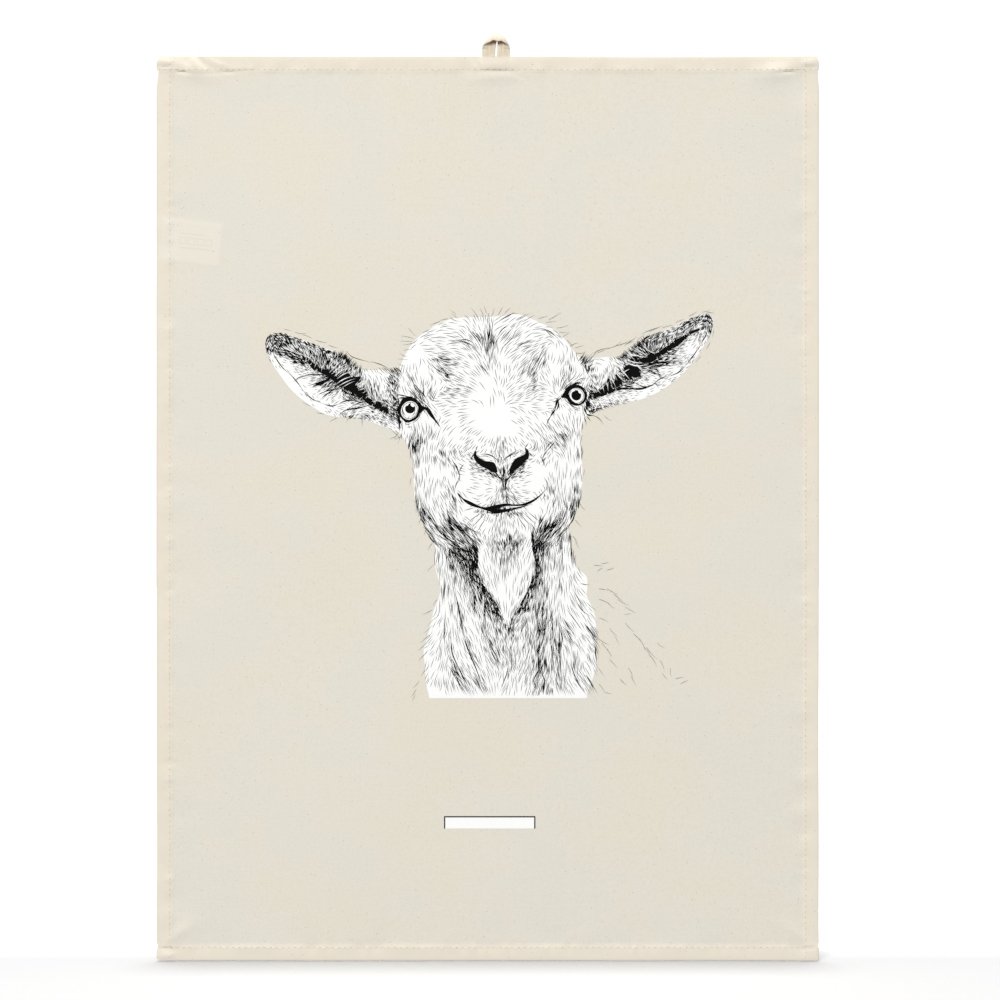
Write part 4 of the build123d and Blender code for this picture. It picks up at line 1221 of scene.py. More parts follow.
NECK_FUR = (
    (-38, 378, 92, 0.26, 7), (-34, 384, 94, 0.26, 8), (-38, 392, 88, 0.16, 7), (-33, 400, 92, 0.28, 8),
    (-30, 376, 76, 0.36, 6), (-25, 373, 60, 0.6, 5), (-20, 376, 50, 0.95, 5), (-13, 376, 60, 1, 5),
    (-10, 384, 78, 0.9, 6), (-18, 384, 66, 0.6, 6), (-25, 384, 74, 0.4, 6), (-29, 392, 84, 0.26, 8),
    (-12, 391, 70, 0.7, 6), (-20, 394, 76, 0.34, 7), (-5, 394, 60, 0.72, 5), (-8, 400, 66, 0.6, 6),
    (-2, 403, 60, 0.76, 5), (3, 408, 62, 0.62, 5), (-6, 408, 70, 0.46, 6), (-14, 403, 76, 0.36, 7),
    (2, 415, 66, 0.62, 5), (8, 418, 66, 0.86, 5), (11, 425, 66, 0.84, 5), (-5, 418, 72, 0.34, 7),
    (5, 425, 70, 0.48, 5), (-11, 413, 78, 0.34, 7), (-17, 412, 80, 0.12, 8), (-24, 404, 80, 0.24, 8),
    (-23, 416, 80, 0.34, 8), (-29, 410, 86, 0.1, 8), (-33, 414, 92, 0.2, 8), (-20, 428, 76, 0.32, 8),
    (-27, 428, 84, 0.14, 8), (-33, 430, 94, 0.26, 8), (-14, 426, 78, 0.08, 8), (-9, 428, 76, 0.2, 8),
    (-3, 430, 80, 0.4, 7), (4, 434, 76, 0.34, 5), (11, 434, 78, 0.4, 4.5), (16, 438, 88, 0.34, 4.5),
    (12, 444, 80, 0.34, 5), (5, 444, 74, 0.32, 6), (-2, 444, 72, 0.34, 7), (-9, 444, 74, 0.12, 8),
    (-16, 442, 68, 0.32, 8), (-22, 444, 80, 0.1, 8), (-28, 444, 84, 0.32, 8), (-34, 444, 94, 0.2, 8),
    (-40, 436, 128, 0.1, 6), (-43, 446, 130, 0.14, 6), (-38, 422, 128, 0.08, 6),
    (-40, 458, 112, 0.1, 6), (-43, 468, 110, 0.1, 6), (-33, 458, 92, 0.26, 8), (-26, 458, 66, 0.32, 8),
    (-20, 456, 70, 0.1, 8), (-12, 455, 62, 0.3, 8), (-6, 456, 68, 0.16, 8), (0, 454, 66, 0.22, 8),
    (6, 453, 62, 0.42, 6), (12, 456, 70, 0.3, 6), (18, 454, 96, 0.3, 5), (-36, 470, 96, 0.16, 7),
    (-30, 472, 86, 0.3, 8), (-22, 466, 60, 0.4, 8), (-16, 474, 60, 0.36, 8), (-8, 466, 62, 0.32, 8),
    (-4, 474, 60, 0.34, 8), (2, 468, 66, 0.2, 8), (8, 466, 80, 0.26, 6), (14, 464, 112, 0.34, 6),
    (12, 474, 116, 0.24, 7), (20, 466, 100, 0.26, 6), (20, 476, 100, 0.2, 6), (6, 477, 80, 0.16, 6),
    (-12, 480, 60, 0.16, 6), (-26, 479, 70, 0.14, 6), (-38, 480, 100, 0.02, 5), (24, 425, 112, 0.5, 5),
    (22, 434, 100, 0.34, 5), (27, 416, 112, 0.56, 5), (30, 408, 110, 0.56, 5), (33, 399, 106, 0.64, 5),
    (36, 388, 94, 0.6, 6), (37, 378, 92, 0.8, 6), (37, 370, 92, 0.92, 6), (41, 373, 92, 0.62, 6),
    (36, 400, 92, 0.44, 6), (34, 412, 96, 0.34, 6), (31, 424, 100, 0.34, 6), (31, 434, 100, 0.4, 6),
    (26, 442, 104, 0.26, 6), (24, 452, 106, 0.26, 6), (30, 450, 106, 0.34, 6), (36, 440, 102, 0.34, 7),
    (41, 378, 90, 0.42, 7), (46, 374, 92, 0.4, 7), (52, 372, 92, 0.34, 7), (47, 384, 92, 0.34, 8),
    (42, 392, 92, 0.3, 8), (48, 398, 90, 0.26, 8), (54, 386, 90, 0.28, 8), (58, 376, 90, 0.14, 7),
    (62, 380, 86, 0.26, 8), (60, 392, 88, 0.14, 8), (55, 400, 90, 0.28, 8), (41, 406, 90, 0.34, 8),
    (47, 412, 94, 0.26, 8), (53, 412, 96, 0.26, 8), (64, 396, 76, 0.2, 8), (60, 406, 84, 0.1, 8),
    (66, 408, 70, 0.2, 8), (71, 398, 40, 0.04, 6), (72, 412, 55, 0.14, 7), (66, 390, 70, 0.14, 7),
    (40, 420, 96, 0.38, 8), (46, 426, 98, 0.36, 8), (52, 424, 96, 0.24, 8), (58, 420, 76, 0.14, 8),
    (64, 422, 66, 0.16, 8), (72, 424, 50, 0.14, 7), (78, 422, 50, 0.1, 6), (60, 432, 60, 0.26, 8),
    (68, 434, 58, 0.14, 8), (76, 436, 50, 0.3, 7), (42, 436, 102, 0.44, 8), (48, 440, 98, 0.4, 8),
    (54, 436, 92, 0.26, 8), (54, 446, 90, 0.44, 7), (38, 452, 100, 0.46, 7), (46, 452, 100, 0.28, 7),
    (62, 446, 66, 0.24, 8), (70, 446, 74, 0.14, 8), (78, 448, 56, 0.2, 7), (64, 456, 88, 0.3, 8),
    (70, 460, 92, 0.3, 8), (58, 456, 76, 0.16, 8), (52, 458, 88, 0.34, 8), (40, 463, 104, 0.46, 7),
    (34, 462, 106, 0.34, 7), (28, 462, 104, 0.26, 6), (46, 466, 100, 0.36, 7), (54, 468, 78, 0.3, 8),
    (62, 468, 74, 0.22, 8), (70, 470, 60, 0.26, 8), (78, 462, 66, 0.14, 7), (76, 472, 56, 0.2, 7),
    (38, 474, 106, 0.34, 7), (44, 476, 100, 0.38, 7), (30, 474, 104, 0.26, 7), (52, 477, 80, 0.26, 7),
    (60, 478, 70, 0.16, 7), (68, 479, 60, 0.16, 6), (26, 480, 100, 0.12, 6), (34, 480, 104, 0.26, 6),
)

BEARD_FUR = (
    (-4, 369, 60, 0.1, 5), (4, 371, 84, 0.22, 5), (10, 372, 90, 0.3, 5), (17, 372, 92, 0.32, 5),
    (24, 370, 100, 0.26, 5), (30, 367, 110, 0.16, 5), (-5, 378, 84, 0.06, 8), (0, 378, 76, 0.16, 8),
    (7, 378, 82, 0.26, 8), (14, 379, 90, 0.32, 8), (21, 378, 84, 0.26, 8), (27, 376, 96, 0.14, 8),
    (32, 374, 94, 0.1, 7), (-5, 388, 78, 0.14, 8), (2, 388, 70, 0.14, 8), (9, 388, 84, 0.16, 8),
    (16, 389, 91, 0.2, 8), (23, 387, 78, 0.2, 8), (29, 386, 90, 0.04, 8), (33, 384, 94, 0.14, 7),
    (-3, 396, 66, 0.24, 6), (4, 399, 72, 0.12, 8), (11, 400, 86, 0.06, 8), (18, 400, 92, 0.08, 8),
    (25, 398, 96, 0.2, 7), (31, 395, 106, 0.2, 6), (3, 407, 66, 0.28, 6), (9, 411, 78, 0.12, 7),
    (15, 411, 90, 0.05, 7), (21, 409, 102, 0.16, 6), (27, 405, 110, 0.24, 6), (11, 421, 78, 0.16, 6),
    (16, 422, 91, 0.08, 6), (19, 418, 104, 0.2, 6), (15, 430, 88, 0.16, 5),
)


class FurField:
    """Direction, darkness and length of the hair over a region, from the samples near by."""

    STEP = 1.5

    def __init__(self, samples, low, high):
        table = np.array(samples, float)
        self.low = low - 3
        self.size = ((high + 3 - self.low) / self.STEP).astype(int) + 2
        u, down = np.meshgrid(*(np.arange(size) for size in self.size), indexing="ij")
        places = np.stack((u.ravel(), down.ravel()), -1) * self.STEP + self.low
        gap = ((places[:, None, :] - table[None, :, :2]) ** 2).sum(2) + 0.6
        doubled = 2 * np.radians(table[:, 2])
        turn = self.average(gap, 2.0, np.stack((np.cos(doubled), np.sin(doubled)), -1))
        shade = self.average(gap, 2.5, table[:, 3:5])
        self.grid = np.concatenate((turn, shade), 1).reshape(*self.size, 4)

    @staticmethod
    def average(gap, power, values):
        weight = gap ** -power
        return (weight / weight.sum(1, keepdims=True)) @ values

    def at(self, points):
        """Direction in radians, darkness and length at each point."""
        place = np.clip((points - self.low) / self.STEP, 0, self.size - 1.001)
        cell = place.astype(int)
        s, t = (place - cell)[:, :1], (place - cell)[:, 1:]
        i, j = cell.T
        near = self.grid[i, j] * (1 - s) + self.grid[i + 1, j] * s
        far = self.grid[i, j + 1] * (1 - s) + self.grid[i + 1, j + 1] * s
        value = near * (1 - t) + far * t
        return np.arctan2(value[:, 1], value[:, 0]) / 2, value[:, 2], value[:, 3]


CLUMP = smooth_noise(31, 3.4, 3.4)
DRIFT = smooth_noise(32, 7, 7)
STROKE_POINTS = 6
PRINT_FOOT = 483.6  # the drawing stops here, in a straight line
MASK_STEP = 0.12
MASK_REACH = 12  # steps, of the widest gap that is kept round a stroke

# How the tone of the hair becomes ink: share of the place covered, stroke width, gap to the next
COVER, COVER_POWER, COVER_MOST = 2.0, 1.85, 0.9
WIDTH_LEAST, WIDTH_MORE = 0.38, 0.36
GAP_SCALE, GAP_LEAST, GAP_MOST, GAP_DROPPED = 0.22, 0.12, 1.5, 2.3
TONE_LEAST = 0.012


def spaced_out(paths, gaps, low, high):
    """Choose strokes in turn, leaving out each that comes nearer than its gap to one before."""
    low = low - 12
    shape = ((high + 12 - low) / MASK_STEP).astype(int) + 1
    taken = np.zeros(shape, bool)
    discs = {}
    chosen = []
    cells = ((paths - low) / MASK_STEP).astype(int)
    cells = np.clip(cells, MASK_REACH + 1, shape - MASK_REACH - 2)
    for number, (path, gap) in enumerate(zip(cells, gaps)):
        if taken[path[:, 0], path[:, 1]].any():
            continue
        chosen.append(number)
        reach = min(int(gap / MASK_STEP + 0.5), MASK_REACH)
        if reach not in discs:
            u, down = np.mgrid[-reach:reach + 1, -reach:reach + 1]
            discs[reach] = np.stack((u, down), -1)[u * u + down * down <= reach * reach]
        share = np.arange(0, 1, 0.25)[:, None]
        for here, after in zip(path[:-1], path[1:]):
            spots = (here + (after - here) * share).astype(int)[:, None] + discs[reach][None]
            taken[spots[..., 0], spots[..., 1]] = True
    return np.array(chosen)


def fur_strokes(samples, region, seed, density=5.0, weight=1.0, longer=1.0, fine=1.0, avoid=()):
    """Evenly spaced strokes inside a region, closer and broader where the samples are darker."""
    random = np.random.default_rng(seed)
    low, high = region.min(0), region.max(0)
    field = FurField(samples, low, high)
    count = int(np.prod(high - low) * density)
    roots = random.uniform(0, 1, (count, 2)) * (high - low) + low
    vary = random.uniform(0.6, 1.4, count)
    bias = random.normal(0, 0.07, count)
    curl = random.normal(0, 0.06, count)
    inside = inside_loops(roots, [region])
    for loop_points in avoid:
        inside &= ~inside_loops(roots, [loop_points])
    roots, vary, bias, curl = roots[inside], vary[inside], bias[inside], curl[inside]
    heading, tone, length = field.at(roots)
    tone = tone * weight * (1 + 0.55 * CLUMP(roots[:, 0], roots[:, 1]))
    bias = bias + 0.16 * DRIFT(roots[:, 0], roots[:, 1])
    stride = (longer * length * vary / (STROKE_POINTS - 1))[:, None]
    points = [roots]
    for k in range(STROKE_POINTS - 1):
        angle = field.at(points[-1])[0]
        heading = np.where(np.cos(angle - heading) < 0, angle + pi, angle)
        bent = heading + bias + curl * (k - 2)
        points.append(points[-1] + stride * np.stack((np.cos(bent), np.sin(bent)), -1))
    paths = np.stack(points, axis=1)
    paths = paths - (paths[:, 2:3] - roots[:, None])
    cover = np.clip(COVER * np.clip(tone, 0, 1) ** COVER_POWER, 0, COVER_MOST)
    thick = fine * (WIDTH_LEAST + WIDTH_MORE * np.clip(tone, 0, 1)) * (0.75 + 0.25 * vary)
    gaps = GAP_SCALE * thick / np.clip(cover, 0.02, 1)
    above_foot = paths[..., 1].max(1) < PRINT_FOOT
    kept = np.nonzero((tone > TONE_LEAST) & (gaps < GAP_DROPPED * vary) & above_foot)[0]
    kept = kept[spaced_out(paths[kept], np.clip(gaps[kept], GAP_LEAST, GAP_MOST), low, high)]
    return paths[kept], thick[kept, None] * brush(STROKE_POINTS)[None]


def lines(rows, count=15):
    """Listed strokes; a row is (width, points...) and tapers to both ends."""
    paths = np.stack([curve_through(row[1:], count) for row in rows])
    widths = np.array([row[0] for row in rows])[:, None] * brush(count, 0.25, 0.12, 0.4)[None]
    return paths, widths


ear_left = curve_through((
    (-66, 237), (-76, 237), (-89, 237), (-97, 236), (-103, 231), (-109, 226), (-121, 221.5),
    (-132, 217), (-143, 213), (-152, 209.5), (-160, 209), (-167, 213), (-167.5, 222), (-162, 234),
    (-152, 247), (-143, 256), (-132, 264), (-120, 270), (-108, 272), (-94, 274), (-84, 277), (-74, 281),
    (-67, 284), (-67, 262), (-68, 250),
), 110, closed=True)
ear_right = curve_through((
    (70, 227), (76, 229), (90, 228), (99, 228), (106, 223.5), (112, 218.5), (119, 212.5), (125, 210),
    (137, 205.5), (147, 201), (157, 196.5), (166, 195.5), (170, 200), (169, 208), (162, 221),
    (150, 236), (138, 247), (126, 254.5), (112, 259.5), (98, 262.5), (86, 266), (76, 268.5), (74, 262),
    (77, 256), (78, 246),
), 110, closed=True)
face = curve_through((
    (1, 197), (20, 195), (36, 200), (46, 204), (54, 209.5), (60, 217), (65, 223), (70, 229), (74, 240),
    (78, 250), (75, 262), (72, 276), (71, 290), (71.5, 314), (69.5, 336), (62, 354), (52, 370),
    (36, 368), (32, 360), (26, 367), (12, 369), (-4, 365), (-10, 372), (-24, 370), (-40, 368),
    (-48, 354), (-54, 338), (-56, 318), (-59, 297), (-66, 285), (-68, 268), (-68, 250), (-65, 234),
    (-58, 218), (-46, 207), (-30, 199), (-14, 197),
), 150, closed=True)
neck = curve_through((
    (-39, 372), (-26, 371), (-10, 372), (-4, 366), (12, 369), (26, 367), (32, 362), (36, 366),
    (50, 368), (61, 360), (65, 378), (70, 390), (75, 394), (75, 408), (81, 424), (82, 444), (82, 460),
    (77, 478), (75, 482), (40, 482.5), (0, 482.5), (-43, 482), (-46, 470), (-47, 450), (-42, 428),
    (-36, 408), (-36, 396), (-40, 382),
), 120, closed=True)

beard = curve_through((
    (-8.5, 371), (-7.9, 381), (-8.5, 387), (-6.8, 393), (-4, 397.6), (-0.4, 403.3), (2.6, 409),
    (6, 412), (8.4, 419), (12, 427), (15.6, 435), (17.2, 429), (19, 423.6), (23, 415.6), (27.6, 408.6),
    (31.6, 399.6), (34.4, 392.6), (36, 385.6), (35.4, 379), (33.8, 371), (33, 363.4), (25, 367.4),
    (14, 369.6), (3, 368.6), (-5, 365),
), 90, closed=True)
# No fur grows here: the eyes, and the strip under the chin that the beard fills
EYE_PATCHES = [ellipse(LEFT_EYE, 8.0, 8.8, 25), ellipse(RIGHT_EYE, 8.0, 8.0, 20)]
UNDER_CHIN = np.array(((-9.0, 360.0), (33.0, 360.0), (33.0, 373.0), (-9.0, 373.0)))

# Strokes given one by one: width, then the points (u, down) that each passes
FEATURE_LINES = (
    (1.8, (-21.9, 330.2), (-16.7, 336), (-7.4, 340.4), (1.9, 342.2)),
    (2.2, (-6, 340.8), (4, 343), (14, 343.3), (24, 341)),
    (1.7, (20, 340.8), (32, 336.6), (39, 332), (44.2, 326.7)),
    # left eye: upper lid, both sides, lower lid, inner corner
    (3.2, (-66.9, 266), (-65.4, 262), (-62.4, 259), (-58.6, 258), (-54.6, 259.2), (-51.4, 262)),
    (2, (-66.6, 262.5), (-67.2, 267), (-66, 271.4), (-63.4, 275)),
    (2, (-65.6, 272), (-62.2, 275.3), (-58.4, 275.2), (-54.8, 272.6), (-51.4, 269)),
    (1.9, (-52.4, 261), (-51.6, 265.4), (-53, 270), (-55.6, 273)),
    (3, (-51.4, 262.4), (-48.4, 265.2), (-45.4, 266.6), (-43.2, 270), (-40.2, 274), (-36.6, 279.4)),
    (1.2, (-44.4, 268), (-41.8, 272.4), (-38.4, 276), (-35.6, 280.4)),
    (0.6, (-53.4, 271.8), (-50.6, 269), (-47.8, 266.4)),
    (0.5, (-56, 275.6), (-52.4, 272), (-49, 268.4)), (0.5, (-57, 277.2), (-53, 274), (-50.4, 270.4)),
    (0.9, (-69.6, 255.2), (-66, 255.7), (-61.6, 256.6), (-57.6, 256.9)),
    (1.1, (-67, 257.7), (-63.6, 257.8), (-60, 257.6)), (0.6, (-71, 260), (-67.6, 258.6), (-64, 258.4)),
    (0.6, (-72, 263.8), (-69, 260.8), (-65.6, 259)), (0.6, (-73.4, 266), (-70, 262.6), (-67, 260)),
    (0.7, (-60.6, 251.5), (-57.2, 254.5), (-54.4, 258)),
    (0.7, (-58.6, 250.6), (-55.8, 254.6), (-52.6, 259.4)),
    (0.7, (-56.4, 253), (-53.4, 257.4), (-50, 261)),
    (0.6, (-54, 256.4), (-50.6, 260.4), (-47.4, 262.6)),
    (0.6, (-52.4, 258.8), (-49.4, 261.4), (-46, 264.2)),
    (0.7, (-49, 261.6), (-45.6, 264.6), (-43, 268)), (0.6, (-69.5, 266), (-69, 270.6), (-68, 275)),
    (0.6, (-71.6, 266.6), (-71, 271), (-70, 275.6)), (0.6, (-73.4, 268), (-73, 272), (-72, 275)),
    (0.5, (-67.4, 276), (-66.8, 280), (-66.6, 284)),
    (0.6, (-65.6, 276.6), (-64.6, 280), (-64.4, 283.4)),
    (0.5, (-62.6, 277.4), (-60, 277.8), (-57.6, 277)), (0.5, (-61, 279.6), (-59, 280), (-57.4, 279.2)),
    (0.8, (-58.5, 261.2), (-58.4, 263), (-58.2, 265)),
    (0.6, (-64.2, 267.4), (-63.2, 270), (-61.8, 271.6)),
    (0.5, (-64.4, 264.8), (-64.2, 268), (-63.6, 270.6)),
    (0.35, (-54.6, 266.4), (-55.6, 269.4), (-58, 272)), (0.3, (-54, 268.6), (-56, 270.8), (-57.6, 273)),
    (0.3, (-59, 271), (-60, 273.2), (-61.6, 273.8)),
    # right eye
    (2.8, (55.4, 257.2), (58.6, 253.6), (62, 250.4), (65.4, 248.9), (69.2, 249.1), (73, 251.2),
     (75, 254.8)),
    (1.8, (73.6, 251.6), (74.4, 255.6), (73.4, 260), (71.4, 263)),
    (1.7, (58.4, 257.6), (62.2, 260), (66, 262.2), (70, 263.2), (73.2, 264.6)),
    (1.8, (60.6, 252.4), (60.5, 255.6), (62, 258.4), (64.6, 260.6)),
    (0.6, (57.6, 259), (61.6, 262), (66, 265)), (0.6, (62, 262.6), (66, 265.2), (70, 266)),
    (0.5, (64, 265.4), (67.4, 267), (70.4, 267)), (1.3, (64.4, 247.8), (68, 246.7), (72.4, 246.7)),
    (0.7, (62.4, 249), (66, 246.6), (70, 245.4)), (0.6, (56.4, 252.2), (60, 248.6), (64.6, 245)),
    (0.6, (57.2, 253.4), (61, 249.2), (65, 246)), (0.5, (60, 246.4), (64, 243.2), (67.4, 240.6)),
    (0.5, (66.4, 245.2), (71, 243.2), (75.6, 243.4)), (0.7, (56, 250.4), (58, 246), (61, 242)),
    (0.6, (55, 248), (56.4, 243), (59, 238)), (0.8, (74.2, 251), (77, 253.6), (79.6, 257)),
    (0.8, (75.6, 250.4), (79, 253.4), (82.4, 255.6)), (0.6, (75.6, 248), (79, 250), (82, 252.6)),
    (0.6, (77, 255), (80, 254.4), (84, 252)), (1.9, (77.2, 254.8), (77.9, 257.2), (78.7, 259.6)),
    (0.8, (75.6, 256), (76.6, 260), (77.6, 263.6)), (0.7, (74.4, 258), (75, 262), (76.4, 266)),
    (1.5, (72.6, 264.4), (74, 268.4), (75.4, 271)), (1.2, (74, 269.6), (77, 271), (80.2, 271)),
    (0.5, (79, 271), (82.8, 272.5), (85.9, 275.4), (87.4, 278.6)),
    (0.7, (78.6, 270), (81, 268.4), (83.6, 266.6)), (0.6, (74.6, 271.4), (76.6, 273.8), (78, 276)),
    (0.6, (72.6, 272), (74, 275.4), (74.6, 278.6)), (0.5, (72, 268), (73.4, 272), (73.6, 275)),
    (1.8, (55.2, 257.8), (52.6, 260.4), (51.6, 263.4), (50.6, 267.6)),
    (1.3, (53.4, 260), (53.4, 264), (51.4, 268)), (1.6, (51.4, 266), (49, 269.4), (46.8, 272.8)),
    (0.8, (48, 271), (45.6, 275), (44.2, 279.4)), (0.6, (54.6, 256.4), (52, 259.4), (49.6, 262)),
    (0.5, (52, 262), (50, 266), (46.8, 269.4)), (0.4, (71.6, 259.6), (70.6, 260.8), (68.8, 261.6)),
    # nose
    (0.9, (-10.4, 300), (-11.8, 302.4), (-12.8, 304)), (0.7, (-9, 297.4), (-8.4, 295.4), (-7, 294)),
    (0.9, (31, 299.5), (32.6, 300.6), (33.4, 302)), (0.7, (28, 295.6), (29.6, 293.6), (31, 291.6)),
    (2, (-9.6, 298.8), (-9.4, 301), (-8, 303.4)), (1.9, (28.8, 296), (30.2, 298.8), (30, 301.4)),
    (0.9, (-5.4, 300.4), (-1, 300.4), (3, 301.6), (7, 304.6), (8.8, 308)),
    (0.5, (-5, 302), (-1, 301.8), (3, 303.4)),
    (0.8, (10.6, 306), (13.4, 303.4), (18.6, 300.6), (25, 298)),
    (0.6, (13.6, 303), (18, 300), (24.4, 296.4)), (0.5, (11.4, 290), (11.6, 294.6), (11.6, 299.6)),
    (0.4, (9.6, 292), (10, 296), (10, 300)), (1.8, (12, 308.8), (12.2, 313.4), (12.3, 319.4)),
    (1.3, (17.4, 313.6), (16.4, 317.6), (13.8, 320.4), (13.4, 324.6), (13.9, 329.6), (14.2, 333.4)),
    (0.6, (14.2, 330.4), (14.3, 334), (14.2, 338.4)), (0.7, (12.2, 321), (12.1, 325), (12.4, 330)),
    (1, (5.4, 313), (8.6, 317.8), (11.2, 320.8)), (0.7, (11, 319.6), (11.4, 323.4), (12.2, 327)),
    (0.6, (7.6, 309.6), (9.4, 313.6), (10.4, 317)), (0.6, (14.4, 306), (15, 310), (14.4, 315)),
    # mouth and lip
    (1, (-23, 329), (-21.6, 331.6), (-19.6, 333.8)), (0.8, (-20.8, 333), (-19.6, 336), (-17.6, 338)),
    (1.3, (-20.8, 332.8), (-15.3, 335.8), (-10, 338.3), (-5.7, 340), (-1, 341)),
    (2.7, (-8, 339.4), (-2, 341.2), (3.3, 340.6), (8.6, 339.6), (13.9, 338.6), (20, 338.9),
     (28, 338.2)),
    (1.9, (14, 338.4), (24, 339), (30, 337.6), (35.2, 335.1), (40.5, 330.9), (44.4, 326.4)),
    (2.6, (-5, 341.2), (0, 342.6), (5, 343.2), (10.7, 342.9), (16.6, 341.9), (22, 341)),
    (1.3, (16, 341.9), (22, 340.9), (27.2, 339.9), (33.4, 337.9)),
    (1.6, (-6, 341), (0, 341.8), (6, 341.6), (12, 340.6)),
    (0.9, (-3, 343.6), (3, 344.8), (10, 344.6), (16, 343.4)),
    (0.6, (42.8, 329.6), (42.6, 332.6), (41, 335)),
    (0.8, (-27.4, 303.6), (-22.4, 313), (-21.2, 318.6), (-23.8, 324)),
    (0.6, (-21.4, 318), (-24.2, 324), (-25.2, 329.6)), (0.6, (-18, 308), (-20.4, 311), (-21.6, 315)),
    (0.6, (42.6, 318), (45, 322), (46.2, 327)), (0.8, (44.8, 297.4), (42.6, 301), (41, 305)),
    (0.8, (40, 302), (42, 306), (43.6, 310)), (0.8, (51, 290.6), (47, 295.4), (43.4, 299.4)),
    (0.7, (49.4, 290), (45.4, 294), (42.4, 298)),
    # chin hair, spreading from the mouth
    (0.5, (-15, 352), (-9, 347.4), (-4, 344.4)), (0.5, (-12, 356), (-7, 350.4), (-2, 345.6)),
    (0.5, (-8, 359), (-4, 352.6), (0, 346.6)), (0.5, (40, 352), (34, 347), (28, 341.8)),
    (0.5, (36.6, 353.6), (30.6, 348), (25, 343)), (0.5, (33, 355), (28, 349.6), (23, 344)),
    (0.5, (29, 357), (25, 351), (21, 345)), (0.5, (-18, 343), (-13, 341.6), (-9, 340.6)),
    # chin, jaw and beard edge
    (1, (32.6, 358), (33.8, 364), (35.6, 372)), (0.8, (-20, 352), (-13, 357), (-6, 361)),
    (0.7, (-33, 350), (-26, 357), (-19, 363.6)), (0.8, (-29, 349), (-22, 357), (-13, 366)),
    (0.7, (-38, 357), (-31, 363.6), (-22, 369)), (0.7, (-36, 352), (-29, 360), (-20, 366.6)),
    (0.7, (-42, 352), (-35, 360), (-27, 367)), (0.8, (-24, 352), (-17, 360), (-10, 367)),
    (0.8, (60, 349), (54, 357), (46, 364)), (0.7, (56, 349), (50, 356), (43, 362)),
    (0.7, (62, 353), (56, 360), (50, 366)), (0.8, (48, 350), (43, 358), (39, 364)),
    (0.8, (44, 345), (40, 352), (36, 360)), (0.7, (52, 350), (47, 358), (41, 365)),
    (0.6, (1, 200), (1.6, 210), (3.6, 220)), (0.8, (-1, 203), (0.6, 213), (2.4, 224)),
    (0.6, (4, 208), (4.4, 216), (4, 225)), (0.8, (-12, 208), (-7, 213), (-4, 219)),
    (0.7, (-15, 206), (-9, 213), (-5, 220)), (0.7, (-28, 216.4), (-18, 215.6), (-11, 219), (-5, 227)),
    (0.6, (-24, 214), (-14, 214.4), (-7, 221)), (0.7, (7, 201), (12, 197.6), (18, 194.4), (23, 194)),
    (0.7, (7, 212), (11, 206), (17, 201.6)), (0.6, (9, 216), (15, 209), (21, 203)),
    (0.6, (10, 221), (17, 214), (24, 206)), (0.6, (-8, 231), (-2, 237), (3, 243)),
    (0.6, (20, 222), (28, 216), (38, 214)), (0.6, (36, 206), (43, 206), (50, 210), (55, 215)),
    (0.7, (32, 238), (38, 229), (43, 219)), (0.7, (36, 238), (39, 231), (44, 222)),
    (0.6, (-39, 226), (-32, 229), (-25, 230)), (0.7, (-36, 233), (-31, 240), (-27, 246)),
    (0.6, (-60, 239), (-56, 247), (-52, 254)),
)

